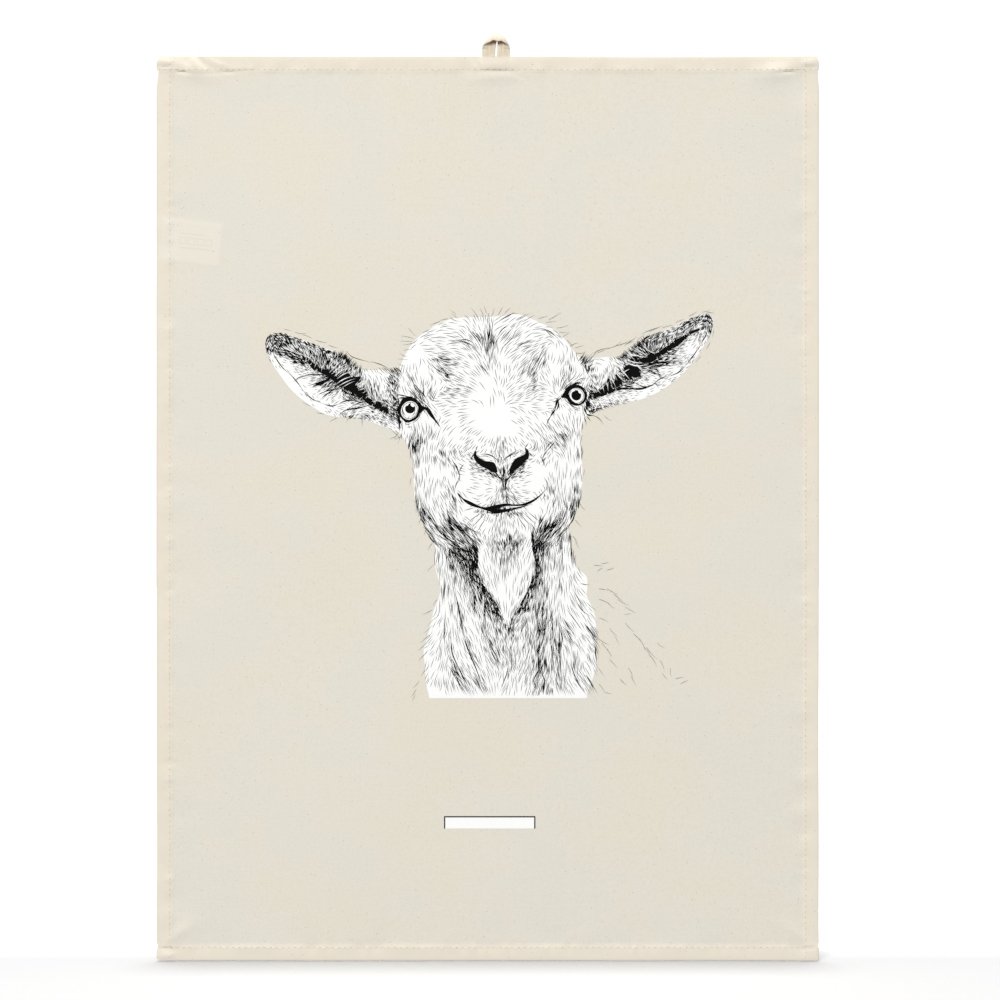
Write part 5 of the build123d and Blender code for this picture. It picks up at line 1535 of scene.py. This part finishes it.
EAR_LINES = (
    # left ear: edge of the fold, veins, rim
    (1, (-158, 221), (-150, 222.6), (-143, 225.6)), (0.9, (-148, 217.6), (-143, 222.4), (-138, 226)),
    (0.9, (-156, 222.6), (-149, 225), (-142, 228.4), (-136, 229)),
    (0.8, (-152, 224.6), (-146, 228.4), (-139, 230.4)),
    (0.8, (-150, 222.2), (-143, 225.4), (-137, 226)), (0.7, (-147, 229.6), (-141, 231.4), (-135, 231)),
    (1, (-138, 227.6), (-135, 232), (-131, 236.4)), (0.7, (-135, 231), (-132, 236), (-127, 240)),
    (1, (-155, 223), (-148, 227.6), (-140, 229)), (1.5, (-118, 243), (-126, 246), (-136, 248.6)),
    (1, (-120, 245), (-128, 248), (-134, 250)),
    (0.9, (-121, 240.4), (-132, 240), (-139, 241.4), (-145, 245)),
    (0.7, (-139, 241), (-143, 242.6), (-147, 246)), (0.9, (-111, 250), (-119, 253), (-125, 259)),
    (0.9, (-112, 251), (-121, 252.4), (-129, 256)), (0.8, (-116, 253), (-122, 255), (-127, 260)),
    (1.1, (-97, 259.6), (-107, 260), (-114, 263)), (1, (-113, 262.6), (-118, 264), (-125, 262)),
    (1.3, (-90, 263.6), (-98, 265.6), (-107, 267), (-113, 271)),
    (0.9, (-92, 260.6), (-98, 262), (-104, 265)), (0.7, (-104, 266), (-109, 268), (-112, 271)),
    (0.8, (-163, 222), (-160, 228), (-155, 235), (-148, 241.4)),
    (0.8, (-150, 239), (-144, 246), (-139, 253)), (0.8, (-140, 252), (-133, 258.4), (-125, 262)),
    (0.9, (-164, 220), (-160, 216), (-157, 212)), (1, (-157, 209), (-151, 212), (-146, 215)),
    (0.9, (-140, 216), (-132, 219), (-126, 220.6)), (0.9, (-127, 221), (-122, 222.6), (-117, 223.6)),
    (0.5, (-107, 222.4), (-103, 226.4), (-96, 229), (-88, 231)),
    (0.5, (-88, 230.4), (-80, 233), (-73, 237)), (0.5, (-95, 268), (-95, 274), (-94.8, 279.6)),
    (0.8, (-116, 237), (-112, 232), (-109, 226)), (0.8, (-104, 240), (-103, 235), (-106, 231)),
    # right ear
    (1.4, (159, 205.8), (151, 209.6), (144, 213)), (1.2, (146, 212.4), (140, 216), (134, 221)),
    (1, (120, 233), (131, 231), (140, 229.6)), (0.9, (122, 234.6), (132, 233), (142, 233.6)),
    (1.4, (92, 253), (101, 251), (112, 250.6)), (1.2, (108, 251), (118, 250.4), (126, 248)),
    (0.9, (112, 247), (119, 249.6), (126, 247)), (0.8, (125, 247.6), (131, 243), (139, 240.6)),
    (0.7, (124, 246), (128, 248), (129, 251)), (0.8, (120, 236), (126, 239), (130, 241)),
    (0.8, (138, 241.4), (145, 238), (151, 232)), (0.8, (150, 233), (156, 225), (162, 216)),
    (0.8, (161, 217.4), (165, 210), (167, 203)), (1, (162, 199.4), (166, 199.6), (169.6, 203)),
    (0.9, (146, 204.6), (151, 200.6), (157, 197.6)), (0.7, (140, 208), (145, 204.6), (150, 202)),
    (0.9, (116, 216.4), (119, 212.6), (123, 210.4)), (0.9, (110, 221), (114, 217.4), (118, 213.6)),
    (0.4, (80, 224), (86, 221.2), (93.4, 219.8)), (0.35, (95, 219), (101.4, 217.3), (108.6, 214)),
    (0.35, (103, 218.6), (108, 215), (113, 211.6)), (0.35, (116, 209.4), (124.5, 206), (133.2, 203.2)),
    (1.6, (93.4, 253.2), (98.5, 251), (104, 251), (110, 251.2)),
    (1.1, (106, 251), (115.8, 251.2), (123, 248.8), (128, 246.4)),
    (1.4, (111, 232.6), (116, 233.6), (123, 233.5)), (0.8, (122, 231.4), (132, 231.4), (143.4, 229)),
    (0.8, (78, 259), (84, 256.6), (92, 254)), (0.6, (84, 251), (90, 245.6), (93, 240.6)),
    (0.6, (91, 249), (94, 244), (94.6, 238)),
)

NECK_LINES = (
    (1, (-25, 404), (-22, 416), (-20, 428), (-17, 440)),
    (1, (-17.6, 438), (-14, 450), (-9, 462), (-3, 478)),
    (0.8, (-28, 438), (-27, 450), (-22, 462), (-16, 474)), (0.9, (-24, 458), (-19, 468), (-13, 479)),
    (0.8, (-11, 404), (-10, 414), (-10, 424)), (0.8, (-3, 410), (-2, 424), (-1, 436)),
    (0.7, (-1, 436), (3, 446), (8, 456), (13, 462)), (0.8, (-33, 392), (-33, 402), (-34, 414)),
    (0.7, (-32, 424), (-33, 436), (-32, 448)), (0.7, (42, 366), (42, 378), (41, 390)),
    (0.8, (36.6, 386), (36.6, 398), (36.6, 412)), (0.6, (55.6, 366), (56.4, 378), (56, 392)),
    (0.7, (63, 362), (63, 374), (64, 386)), (0.8, (42, 406), (41.6, 420), (41, 434)),
    (0.9, (44, 424), (42, 440), (38, 452)), (0.8, (40, 438), (38, 450), (38, 462)),
    (0.8, (54, 432), (54.6, 444), (56, 456)), (0.8, (54, 448), (55, 460), (56, 474)),
    (0.8, (40, 464), (43, 472), (41, 481)), (0.7, (34, 470), (36, 477), (33, 482)),
    (0.7, (16, 462), (13, 470), (9.6, 479)), (0.7, (47, 440), (48.6, 450), (50, 462)),
    (0.7, (57, 424), (62, 432), (67, 438)), (0.7, (58, 430), (63, 440), (68, 446)),
    (0.6, (60, 418), (66, 426), (70, 432)), (0.9, (75, 430), (79, 436), (83, 441)),
    (0.8, (73, 428), (78, 435), (81, 441)), (0.9, (81, 444), (81.6, 452), (82.6, 460)),
    (0.6, (66, 410), (71, 418), (79, 424)), (0.6, (64, 402), (70, 412), (76, 420)),
    (0.7, (65, 468), (70, 476), (75, 483)), (0.8, (74, 467), (79, 475), (83, 481)),
    (0.7, (62, 458), (66, 468), (70, 476)), (0.6, (70, 398), (74, 399), (77, 399)),
    (0.9, (15, 428), (15.6, 434), (15, 440)), (0.6, (18, 424), (17, 432), (16.4, 440)),
    (0.6, (-7, 386), (-4, 396), (1, 402)), (0.7, (6, 409), (8, 414), (11, 420)),
    (0.7, (34, 388), (33, 398), (31, 404)), (0.7, (30, 404), (27, 412), (24, 418)),
)

# Deep shade on the neck, each side of the beard: hair samples and outline
NECK_SHADES = (
    (((-25, 374, 60, 0.23, 4), (-18, 374, 50, 0.44, 4), (-12, 374, 60, 0.5, 4), (-9, 380, 80, 0.5, 4),
      (-16, 381, 60, 0.33, 4), (-10, 389, 72, 0.44, 4), (-5, 397, 62, 0.46, 4), (1, 406, 60, 0.44, 4),
      (7, 417, 62, 0.5, 4), (12, 426, 66, 0.43, 4), (-12, 393, 66, 0.19, 4), (-2, 410, 66, 0.19, 4)),
     ((-29, 372.4), (-18, 371.6), (-8.2, 370.4), (-7.7, 381.3), (-8.3, 387.1), (-6.6, 393), (-3.7, 397.6),
      (-0.2, 403.4), (3.2, 410), (6.6, 413), (10, 421), (15, 432), (10.4, 428.6), (1.9, 417.4), (-6, 404),
      (-15.3, 391.4), (-24, 380))),
    (((36, 367, 100, 0.44, 4), (39, 372, 94, 0.44, 4), (37.4, 380, 92, 0.44, 4), (36.4, 390, 98, 0.35, 4),
      (33, 400, 110, 0.36, 4), (27.6, 410.6, 112, 0.32, 4), (22, 420, 112, 0.29, 4)),
     ((33, 364), (38.4, 364.6), (42, 369.7), (41.3, 379), (38.8, 387), (37.2, 395.2), (34.8, 402.2),
      (30.1, 410.3), (25.4, 417.2), (19, 427), (18.6, 424.2), (22.8, 416), (27.4, 409), (31.5, 400),
      (34.4, 393), (36.1, 386), (35.5, 379), (33.8, 371))),
)

# Hairs that stand clear of the outline: place, direction, length
STRAY_HAIRS = (
    (-60, 205, 50, 8), (-56, 213, 195, 10), (-57, 215, 180, 9), (-55, 216, 165, 9), (-60, 229, 185, 8),
    (-61, 227, 205, 6), (-58, 221, 170, 6), (-63, 234, 200, 5), (-24, 195, 225, 6), (-22, 198, 215, 7),
    (-36, 200, 160, 8), (-30, 198, 170, 6), (-8, 196, 235, 8), (-3, 196, 245, 7), (-1, 194, 255, 6),
    (3, 196, 292, 7), (8, 195, 300, 7), (13, 194, 310, 6), (38, 198, 345, 8), (44, 201, 350, 8),
    (46, 199, 330, 11), (52, 205, 352, 9), (54, 208, 10, 6), (56, 212, 330, 7), (62, 219, 330, 7),
    (66, 220, 345, 7), (67, 224, 2, 7), (60, 214, 50, 7), (71, 231, 315, 8), (73, 230, 318, 9),
    (75, 231, 315, 10), (79, 227, 310, 7), (71, 227, 300, 5), (-67, 284, 135, 6), (-65, 285, 115, 7),
    (-69, 287, 160, 6), (-72, 283, 40, 8), (-66, 287, 150, 5), (72, 297, 95, 5), (73, 312, 95, 5),
    (70, 338, 60, 6), (66, 350, 48, 7), (64, 362, 50, 7), (66, 366, 60, 7), (-42, 368, 130, 6),
    (-41, 384, 135, 7), (-50, 348, 115, 6), (-54, 334, 100, 6), (-58, 318, 95, 6), (-46, 356, 110, 6),
    (-38, 410, 130, 6), (-42, 418, 150, 8), (-40, 424, 132, 8), (-42, 430, 135, 9), (-44, 437, 140, 9),
    (-46, 443, 138, 9), (-46, 450, 135, 9), (-46, 462, 128, 7), (-52, 472, 125, 7), (-54, 478, 120, 7),
    (-44, 470, 115, 6), (-104, 272, 130, 5), (-114, 273, 155, 6), (-124, 270, 190, 6),
    (-134, 264, 205, 7), (-146, 208, 15, 9), (-140, 210, 18, 8), (-130, 214, 20, 9), (-120, 218, 22, 7),
    (-154, 206, 10, 6), (113, 214, 325, 7), (122, 208, 335, 8), (132, 205, 340, 8), (142, 201, 335, 7),
    (152, 196, 335, 7), (162, 193, 350, 6), (166, 193, 10, 5), (171, 206, 100, 6), (168, 216, 118, 6),
    (161, 226, 126, 6), (83, 224, 335, 7), (90, 221, 340, 7), (96, 219, 325, 6), (104, 217, 345, 7),
    (88, 271, 45, 7), (80, 384, 10, 7), (86, 383, 355, 6), (90, 388, 345, 6), (83, 389, 320, 5),
    (84, 402, 10, 7), (90, 402, 30, 10), (95, 406, 38, 9), (98, 410, 32, 10), (104, 416, 30, 9),
    (84, 410, 20, 9), (90, 412, 45, 9), (108, 421, 175, 5), (104, 428, 50, 9), (110, 436, 42, 8),
    (114, 440, 50, 10), (118, 446, 48, 9), (122, 452, 50, 11), (120, 446, 55, 12), (128, 443, 40, 7),
    (84, 424, 20, 8), (92, 432, 50, 9), (96, 438, 60, 8), (84, 440, 35, 9), (86, 443, 48, 8),
    (90, 447, 60, 8), (92, 455, 50, 9), (106, 462, 55, 9), (108, 468, 60, 9), (100, 470, 50, 7),
    (84, 462, 60, 8), (84, 474, 50, 8), (88, 480, 20, 6), (130, 456, 60, 9), (132, 466, 55, 7),
    (142, 470, 350, 6), (138, 462, 90, 6), (146, 474, 330, 6), (-55, 482, 110, 5),
)


def stray_hairs(seed):
    """Thin curved hairs from the list, a little uneven."""
    random = np.random.default_rng(seed)
    table = np.array(STRAY_HAIRS, float)
    share = np.linspace(0, 1, 6)
    bend = random.normal(0, 0.16, (len(table), 1)) * (share - 0.5)
    angle = np.radians(table[:, 2])[:, None] + bend
    step = table[:, 3:4] * share
    paths = np.stack((table[:, 0:1] + step * np.cos(angle), table[:, 1:2] + step * np.sin(angle)), -1)
    widths = random.uniform(0.18, 0.30, (len(table), 1)) * brush(6, 0.6, 0.3)[None]
    return paths, widths


def ink_piece(name, groups, body=None):
    """A piece of black line work, riding on a body, or kept in place with its transform baked."""
    piece = make_strokes(name, groups, INK_LOW, INK_HIGH, BLACK_INK)
    if body:
        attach(piece, body)
    else:
        across_fold(piece)
    return piece


# Solid black: nostrils, the deep folds of the ears, the shade at the corners of the eyes
SOLID_SHAPES = (
    ((-10, 298.2), (-8.5, 298.2), (-8.6, 300.8), (-7.2, 302.3), (-4.6, 304.1), (-1.4, 305.6),
     (2, 305.9), (4.8, 306.8), (6.4, 309.4), (7.3, 312.6), (6.4, 314.6), (3, 313.7), (-0.4, 311.8),
     (-4.5, 309.5), (-7.8, 307), (-10, 304.2), (-10.7, 301.4)),
    ((28.1, 295.4), (29.5, 296.4), (30.9, 299), (31.3, 301.3), (30.4, 303.8), (28.2, 305.8),
     (25.6, 308.4), (22.4, 311.2), (19.2, 314), (16.8, 315.8), (16.5, 312), (18, 308), (19.8, 305.1),
     (22.2, 303), (25, 301.9), (27.4, 300.6), (28.5, 299.2), (28.3, 297.2)),
    ((-138, 227), (-134, 229.6), (-130.4, 232.4), (-127.5, 234.6), (-123, 236.2), (-119.5, 237),
     (-116.6, 238.3), (-113, 240), (-109.4, 239.2), (-105, 239.2), (-103, 241.8), (-99.4, 241.8),
     (-95.8, 242.2), (-97, 246), (-98.6, 248.6), (-95.6, 250.6), (-92.6, 249.2), (-92.4, 253.7),
     (-89.6, 258.6), (-86, 261.2), (-82.6, 260.6), (-79, 262.2), (-75.2, 267), (-76, 269.9),
     (-81.2, 267.8), (-86.2, 264.6), (-90.8, 262), (-95.8, 258), (-100.2, 255), (-104.5, 252.8),
     (-108, 251.2), (-112.5, 249), (-116.1, 245.4), (-119.7, 242.6), (-123.4, 240.4), (-129, 237.5),
     (-132.8, 234.6), (-136.6, 230.8)),
    ((159.6, 205.4), (155, 206.8), (150.6, 209), (145.5, 212.2), (141.2, 214.3), (138.3, 217.2),
     (134, 219.4), (130.3, 222.3), (126.7, 224.4), (123.8, 223.8), (121.4, 224.6), (119.8, 226.8),
     (117.3, 227.5), (113, 228.6), (108.2, 228.9), (113, 230.5), (118.7, 231.3), (123.4, 231),
     (126.3, 229.3), (129.9, 226.7), (134.3, 224.2), (138.6, 220.9), (142.9, 218.8), (146.6, 215.9),
     (149.5, 213), (153.8, 209.7), (158.8, 207.3)),
    ((104, 234), (107.2, 232.6), (110.2, 233.4), (114.6, 234.8), (116, 237.9), (115.3, 241),
     (112.3, 242.5), (108.6, 243.9), (105.7, 244.6), (103.3, 240.8), (102.6, 237.9)),
    ((96.8, 239.8), (100, 240.6), (103.7, 245.2), (102.9, 246.8), (99.2, 249), (94.6, 249.7),
     (93.9, 247.3), (96.1, 244.4)),
    ((91.2, 242.6), (92.9, 247.3), (94.2, 250.8), (97.4, 250.8), (94.9, 253.3), (91.3, 255.1),
     (86.9, 256.2), (83.6, 256.4), (81.4, 258), (79.6, 257.4), (80.6, 255), (82.4, 253.6),
     (85.4, 251.5), (89, 247.8)),
    ((55.4, 257.5), (57.6, 255), (60.2, 252.4), (61.2, 253), (60.8, 255.4), (61.6, 257.6),
     (63.4, 259.6), (61.4, 259.6), (58.4, 258)),
    ((-53, 260.9), (-49.6, 263.5), (-47.6, 265.9), (-48.6, 267), (-50.8, 268.8), (-52.6, 270.2),
     (-52.2, 267.3), (-52.2, 264.4)),
    ((-68.4, 271), (-67, 271.6), (-66, 274.6), (-65, 276), (-66.2, 278), (-66, 281), (-67.2, 278)),
)
LEFT_EAR_FOLDS, RIGHT_EAR_FOLDS = SOLID_SHAPES[2:3], SOLID_SHAPES[3:7]


FRINGE_REACH = 3.4


def fringe(shapes, angle, count, seed):
    """Hairs across the outline of a dark fold, so that its edge is not one clean line."""
    random = np.random.default_rng(seed)
    outlines = [curve_through(shape, 8 * len(shape), closed=True) for shape in shapes]
    outline = np.concatenate(outlines)
    roots = outline[random.integers(0, len(outline), count)] + random.normal(0, 0.5, (count, 2))
    share = np.linspace(-0.5, 0.5, STROKE_POINTS)
    turn = np.radians(random.normal(angle, 11, count))[:, None]
    turn = turn + share * random.normal(0, 0.5, (count, 1))
    step = share * random.uniform(0.5, 1.2, (count, 1)) * FRINGE_REACH
    paths = roots[:, None] + np.stack((step * np.cos(turn), step * np.sin(turn)), -1)
    return paths, random.uniform(0.30, 0.55, (count, 1)) * brush(STROKE_POINTS, 0.35, 0.1)[None]


def ear_fringes(seed, count):
    """Fringes of both ears; the left ear's hairs lean to the right, the right ear's to the left."""
    return [fringe(LEFT_EAR_FOLDS, -50, count, seed), fringe(RIGHT_EAR_FOLDS, 55, count, seed + 1)]


face_fur = fur_strokes(HEAD_FUR, face, 41, density=6, weight=1.06, longer=1.35, fine=0.92,
                       avoid=EYE_PATCHES)
ear_fur = [
    fur_strokes(EAR_FUR, outline, seed, density=12, weight=weight, fine=0.85, avoid=EYE_PATCHES)
    for outline, seed, weight in ((ear_left, 42, 1.68), (ear_right, 43, 1.76))
]
neck_fur = fur_strokes(NECK_FUR, neck, 44, density=7, weight=1.10, longer=1.4, fine=0.85,
                       avoid=[beard, UNDER_CHIN])
beard_fur = fur_strokes(BEARD_FUR, beard, 46, density=9, weight=1.35, longer=1.4, fine=0.85)
shade_fur = [
    fur_strokes(samples, curve_through(shape, 60, closed=True), 47 + number, density=14)
    for number, (samples, shape) in enumerate(NECK_SHADES)
]
face_ink = ink_piece("goat_face_lines", [face_fur, lines(FEATURE_LINES, 17), stray_hairs(45)])
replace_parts(face_ink, "print_lines_upper")
ear_groups = [*ear_fur, lines(EAR_LINES, 13), *ear_fringes(61, 160)]
ink_piece("goat_ear_lines", ear_groups, "towel_upper")
neck_ink = ink_piece("goat_neck_lines", [neck_fur, beard_fur, *shade_fur, lines(NECK_LINES, 15)])
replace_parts(neck_ink, "print_lines_lower")


def ring(middle, outer, inner, turn, outer_count, inner_count):
    """An ellipse with an elliptical hole; outer and inner are (half width, half height)."""
    return [ellipse(middle, *outer, turn, outer_count), ellipse(middle, *inner, turn, inner_count)]


solids = [[curve_through(shape, 4 * len(shape), closed=True)] for shape in SOLID_SHAPES]
solids += [
    # eyes: rim, pupil and ring of each
    ring(LEFT_EYE, (8.0, 8.8), (6.5, 7.2), 25, 48, 44),
    [ellipse((-58.6, 265.8), 3.9, 3.7, -30, 24)],
    [ellipse((66.9, 255.9), 3.7, 3.9, -20, 24)],
    ring(LEFT_EYE, (5.8, 6.4), (5.5, 6.1), 25, 40, 38),
    ring(RIGHT_EYE, (5.5, 5.6), (5.2, 5.3), 0, 40, 38),
    ring(RIGHT_EYE, (7.4, 7.4), (6.0, 6.1), 0, 48, 44),
]
solid_ink = make_film("goat_solid_ink", solids, BASE_LOW, INK_HIGH, BLACK_INK, spacing=2.2)
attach(solid_ink, "towel_upper")

# White over black: light hairs over the dark folds of the ears, and the light on the lip
LIGHT_HAIRS = (
    (0.9, (-118, 240), (-112, 235), (-106, 232)), (0.8, (-116, 241.6), (-110, 237), (-104, 234.6)),
    (0.7, (-119, 238), (-114, 233), (-110, 229.6)), (0.8, (-114, 243.4), (-108, 239.6), (-102, 238)),
    (0.7, (-121, 236), (-117, 231), (-114, 227)), (0.9, (-115, 247.6), (-108, 243.4), (-101, 241)),
    (0.8, (-113, 249), (-106, 245.4), (-100, 243)), (0.6, (-110, 250), (-104, 246.6), (-100, 245)),
    (0.8, (-100, 248.4), (-96, 246.6), (-92, 242.4)), (0.8, (-99, 250), (-95, 248.6), (-91.4, 245)),
    (0.7, (-98, 252), (-94, 251), (-91.6, 248)), (0.7, (-88, 258), (-88.6, 252), (-88, 247)),
    (0.7, (-86, 259.4), (-86, 253), (-84.6, 248)), (0.7, (-83.6, 261), (-82.6, 256), (-80.6, 251)),
    (0.6, (-80.6, 262.6), (-79.6, 258), (-78, 254)), (0.6, (-126, 238), (-124, 233), (-121, 229)),
    (0.6, (-131, 235), (-129, 230.6), (-127, 227)), (0.6, (-136, 230.6), (-134, 227), (-131, 224)),
    (1.3, (104, 231), (112, 233.6), (121, 233)), (1, (105, 229), (111, 231), (118, 231.6)),
    (1.2, (99, 234), (104, 240), (108, 244.6)), (1, (95, 236), (99.6, 242), (105, 247)),
    (0.9, (92, 240), (95, 246), (97, 250)), (0.8, (88.6, 244), (90.6, 249), (91, 253)),
    (0.8, (112, 233), (116, 236.6), (117.6, 241)), (0.7, (110, 224), (115, 226.6), (121, 227)),
    (0.7, (113, 220.6), (117, 224), (122, 225)), (0.7, (118, 217), (120.6, 221.6), (124.6, 224)),
    (0.6, (128, 216), (128.6, 220), (130, 222.6)), (0.6, (134, 213), (134, 217), (135.4, 220)),
    (0.8, (107, 236), (103, 238.6), (100, 243)), (0.6, (86, 247), (87.4, 251), (88, 254)),
    (1.1, (14, 340.5), (21, 340.2), (28, 339.2)),
)
LIGHT_LOW, LIGHT_HIGH = INK_HIGH + 0.01, INK_HIGH + 0.09
light_groups = [lines(LIGHT_HAIRS, 11), *ear_fringes(63, 40)]
light_hairs = make_strokes("goat_light_hairs", light_groups, LIGHT_LOW, LIGHT_HIGH, WHITE_INK)
across_fold(light_hairs)
glints = [
    [ellipse((-60.9, 262.9), 1.4, 0.8, -35, 18)],
    [ellipse((-56.9, 263.4), 1.7, 1.0, 40, 14)],
    [ellipse((64.6, 252.3), 1.6, 0.8, -28, 18)],
    [ellipse((69.4, 253.3), 0.8, 1.4, -30, 12)],
]
eye_light = make_film("goat_eye_light", glints, BASE_LOW, LIGHT_HIGH, WHITE_INK, spacing=1.5)
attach(eye_light, "towel_upper")

# ---- Caption strip, left blank, in its open frame ----

PANEL_LOW, PANEL_HIGH = box_mm("caption_panel")
FRAME_LOW, FRAME_HIGH = box_mm("caption_frame")


def rectangle(low, high, count_across, count_down):
    """Loop of points round a box of the CAD model, as seen from the front."""
    left, right = low[0] - MIDDLE, high[0] - MIDDLE
    upper, lower = TOP - high[2], TOP - low[2]
    corners = ((left, upper), (right, upper), (right, lower), (left, lower), (left, upper))
    sides = []
    for k, count in enumerate((count_across, count_down, count_across, count_down)):
        share = np.linspace(0, 1, count, endpoint=False)[:, None]
        sides.append(np.array(corners[k]) * (1 - share) + np.array(corners[k + 1]) * share)
    return np.concatenate(sides)


plate = [[rectangle(PANEL_LOW, PANEL_HIGH, 24, 5)]]
panel = make_film("caption_plate", plate, BASE_LOW, BASE_HIGH, WHITE_INK)
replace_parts(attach(panel, "towel_lower"), "caption_panel")
FRAME_LINE = 0.9
LEFT, RIGHT = FRAME_LOW[0] - MIDDLE, FRAME_HIGH[0] - MIDDLE
UPPER, LOWER = TOP - FRAME_HIGH[2], TOP - FRAME_LOW[2]
frame_bars = (
    (LEFT, UPPER, RIGHT, UPPER + FRAME_LINE),
    (LEFT, UPPER + FRAME_LINE, LEFT + FRAME_LINE, LOWER),
    (RIGHT - FRAME_LINE, UPPER + FRAME_LINE, RIGHT, LOWER),
)
bars = []
for left, upper, right, lower in frame_bars:
    low, high = (left + MIDDLE, 0, TOP - lower), (right + MIDDLE, 0, TOP - upper)
    count_across = max(2, round((right - left) / 2))
    count_down = max(2, round((lower - upper) / 2))
    bars.append([rectangle(low, high, count_across, count_down)])
caption = make_film("caption_border", bars, BASE_LOW, INK_HIGH, BLACK_INK)
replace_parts(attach(caption, "towel_lower"), "caption_frame")

# ---- Print of the care label: two bars and four generic care symbols ----



def label_strokes():
    """Bars and symbols as strokes in the label's own directions."""
    even = np.full(9, 1.0)
    groups = []
    for across, length in LABEL_ROWS:
        along = np.linspace(MARKS_LEFT, MARKS_LEFT + length, 9)
        path = np.stack((along, np.full(9, across)), -1)
        groups.append((path[None], ROW_LINE * even[None]))
    radius = SYMBOL_SIZE / 2
    for number, corners in enumerate((4, 3, 8, 24)):
        middle = MARKS_LEFT + SYMBOL_SIZE / 2 + number * SYMBOL_PITCH
        angles = np.arange(corners + 1) * 2 * pi / corners + (pi / 4 if corners == 4 else -pi / 2)
        outline = np.stack((middle + radius * np.cos(angles), radius * np.sin(angles)), -1)
        for start, end in zip(outline[:-1], outline[1:]):
            path = np.linspace(start, end, 3)
            groups.append((path[None], np.full((1, 3), SYMBOL_LINE)))
    return groups


MARKS_LOW, MARKS_HIGH = -0.03, 0.05  # behind the ribbon's back
label_print = make_strokes("care_label_marks", label_strokes(), MARKS_LOW, MARKS_HIGH, LABEL_INK,
                           label_surface)
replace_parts(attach(label_print, "care_label"), "care_label_print")

# ---- Floor, light and camera ----

FLOOR_GAP = 0.6
FLOOR_HALF = 9000.0
STUDIO_LIGHT, STUDIO_WHITE = 0.36, 1.05  # what the studio gives the towel, and looks like


def floor_material():
    """Pale floor, greyer in front of the towel and just behind it: painted shade round the towel's foot.
    """
    m = Material("pale_floor", roughness=0.95)
    # painted shade near the towel, and painted light farther behind it where the key light's shadow falls
    far = m.ramp(m.axis("Y"), 5.0, 120.0)
    return m.colour(m.mix(far, rgb(187, 187, 187), rgb(246, 246, 246)))


def make_floor():
    """Pale floor that the towel hangs just clear of."""
    level = TOP - HEIGHT - FLOOR_GAP
    mesh = bpy.data.meshes.new("floor")
    signs = ((-1, -1), (1, -1), (1, 1), (-1, 1))
    corners = [(x * FLOOR_HALF, y * FLOOR_HALF, level) for x, y in signs]
    mesh.from_pydata((np.array(corners) * MM).tolist(), [], [(0, 1, 2, 3)])
    rest = mesh.attributes.new("rest", "FLOAT_VECTOR", "POINT")
    rest.data.foreach_set("vector", np.array(corners, np.float32).ravel())
    mesh.materials.append(floor_material())
    floor = bpy.data.objects.new("floor", mesh)
    bpy.context.scene.collection.objects.link(floor)
    floor.visible_diffuse = False  # light from below would flatten the relief of the cloth


def make_world():
    """White studio all round, brighter where the camera looks straight at it."""
    world = bpy.data.worlds.new("studio")
    bpy.context.scene.world = world
    world.use_nodes = True
    nodes, links = world.node_tree.nodes, world.node_tree.links
    path = nodes.new("ShaderNodeLightPath")
    mix = nodes.new("ShaderNodeMix")
    mix.inputs["A"].default_value = STUDIO_LIGHT
    mix.inputs["B"].default_value = STUDIO_WHITE
    links.new(path.outputs["Is Camera Ray"], mix.inputs["Factor"])
    background = nodes["Background"]
    background.inputs["Color"].default_value = (1.0, 1.0, 1.0, 1.0)
    links.new(mix.outputs["Result"], background.inputs["Strength"])


def add_lamp(name, light, place, target):
    """Object that aims the light from a place to a target, both in metres."""
    lamp = bpy.data.objects.new(name, light)
    bpy.context.scene.collection.objects.link(lamp)
    lamp.location = place
    lamp.rotation_mode = "QUATERNION"
    lamp.rotation_quaternion = (Vector(target) - Vector(place)).to_track_quat("-Z", "Y")


def far_light(name, place, target, angle, radiance):
    """Light from far away, as soft as its angle; radiance is what it gives a white card."""
    light = bpy.data.lights.new(name, "SUN")
    light.angle = radians(angle)
    light.energy = radiance * pi
    add_lamp(name, light, place, target)


def near_light(name, place, target, size, power):
    """Soft square light; size in metres, power in watts."""
    light = bpy.data.lights.new(name, "AREA")
    light.shape = "SQUARE"
    light.size = size
    light.energy = power
    add_lamp(name, light, place, target)


make_floor()
make_world()
near_light("key", place=(-2.2, -8.3, 4.8), target=(0, 0, -0.35), size=4.2, power=945.0)
far_light("overhead", place=(0.0, 0.065, 2.0), target=(0, 0, 0), angle=9, radiance=1.1)

VIEW_RIGHT, VIEW_DISTANCE, VIEW_LEVEL = 0.00307, 2.0995, -0.351  # metres
camera_data = bpy.data.cameras.new("camera")
camera_data.lens = 100.0
camera_data.sensor_width = 36.0
camera = bpy.data.objects.new("camera", camera_data)
bpy.context.scene.collection.objects.link(camera)
camera.location = (VIEW_RIGHT, FRONT * MM - VIEW_DISTANCE, VIEW_LEVEL)
camera.rotation_euler = (pi / 2, 0, 0)
bpy.context.scene.camera = camera
bpy.context.scene.view_settings.view_transform = "Standard"
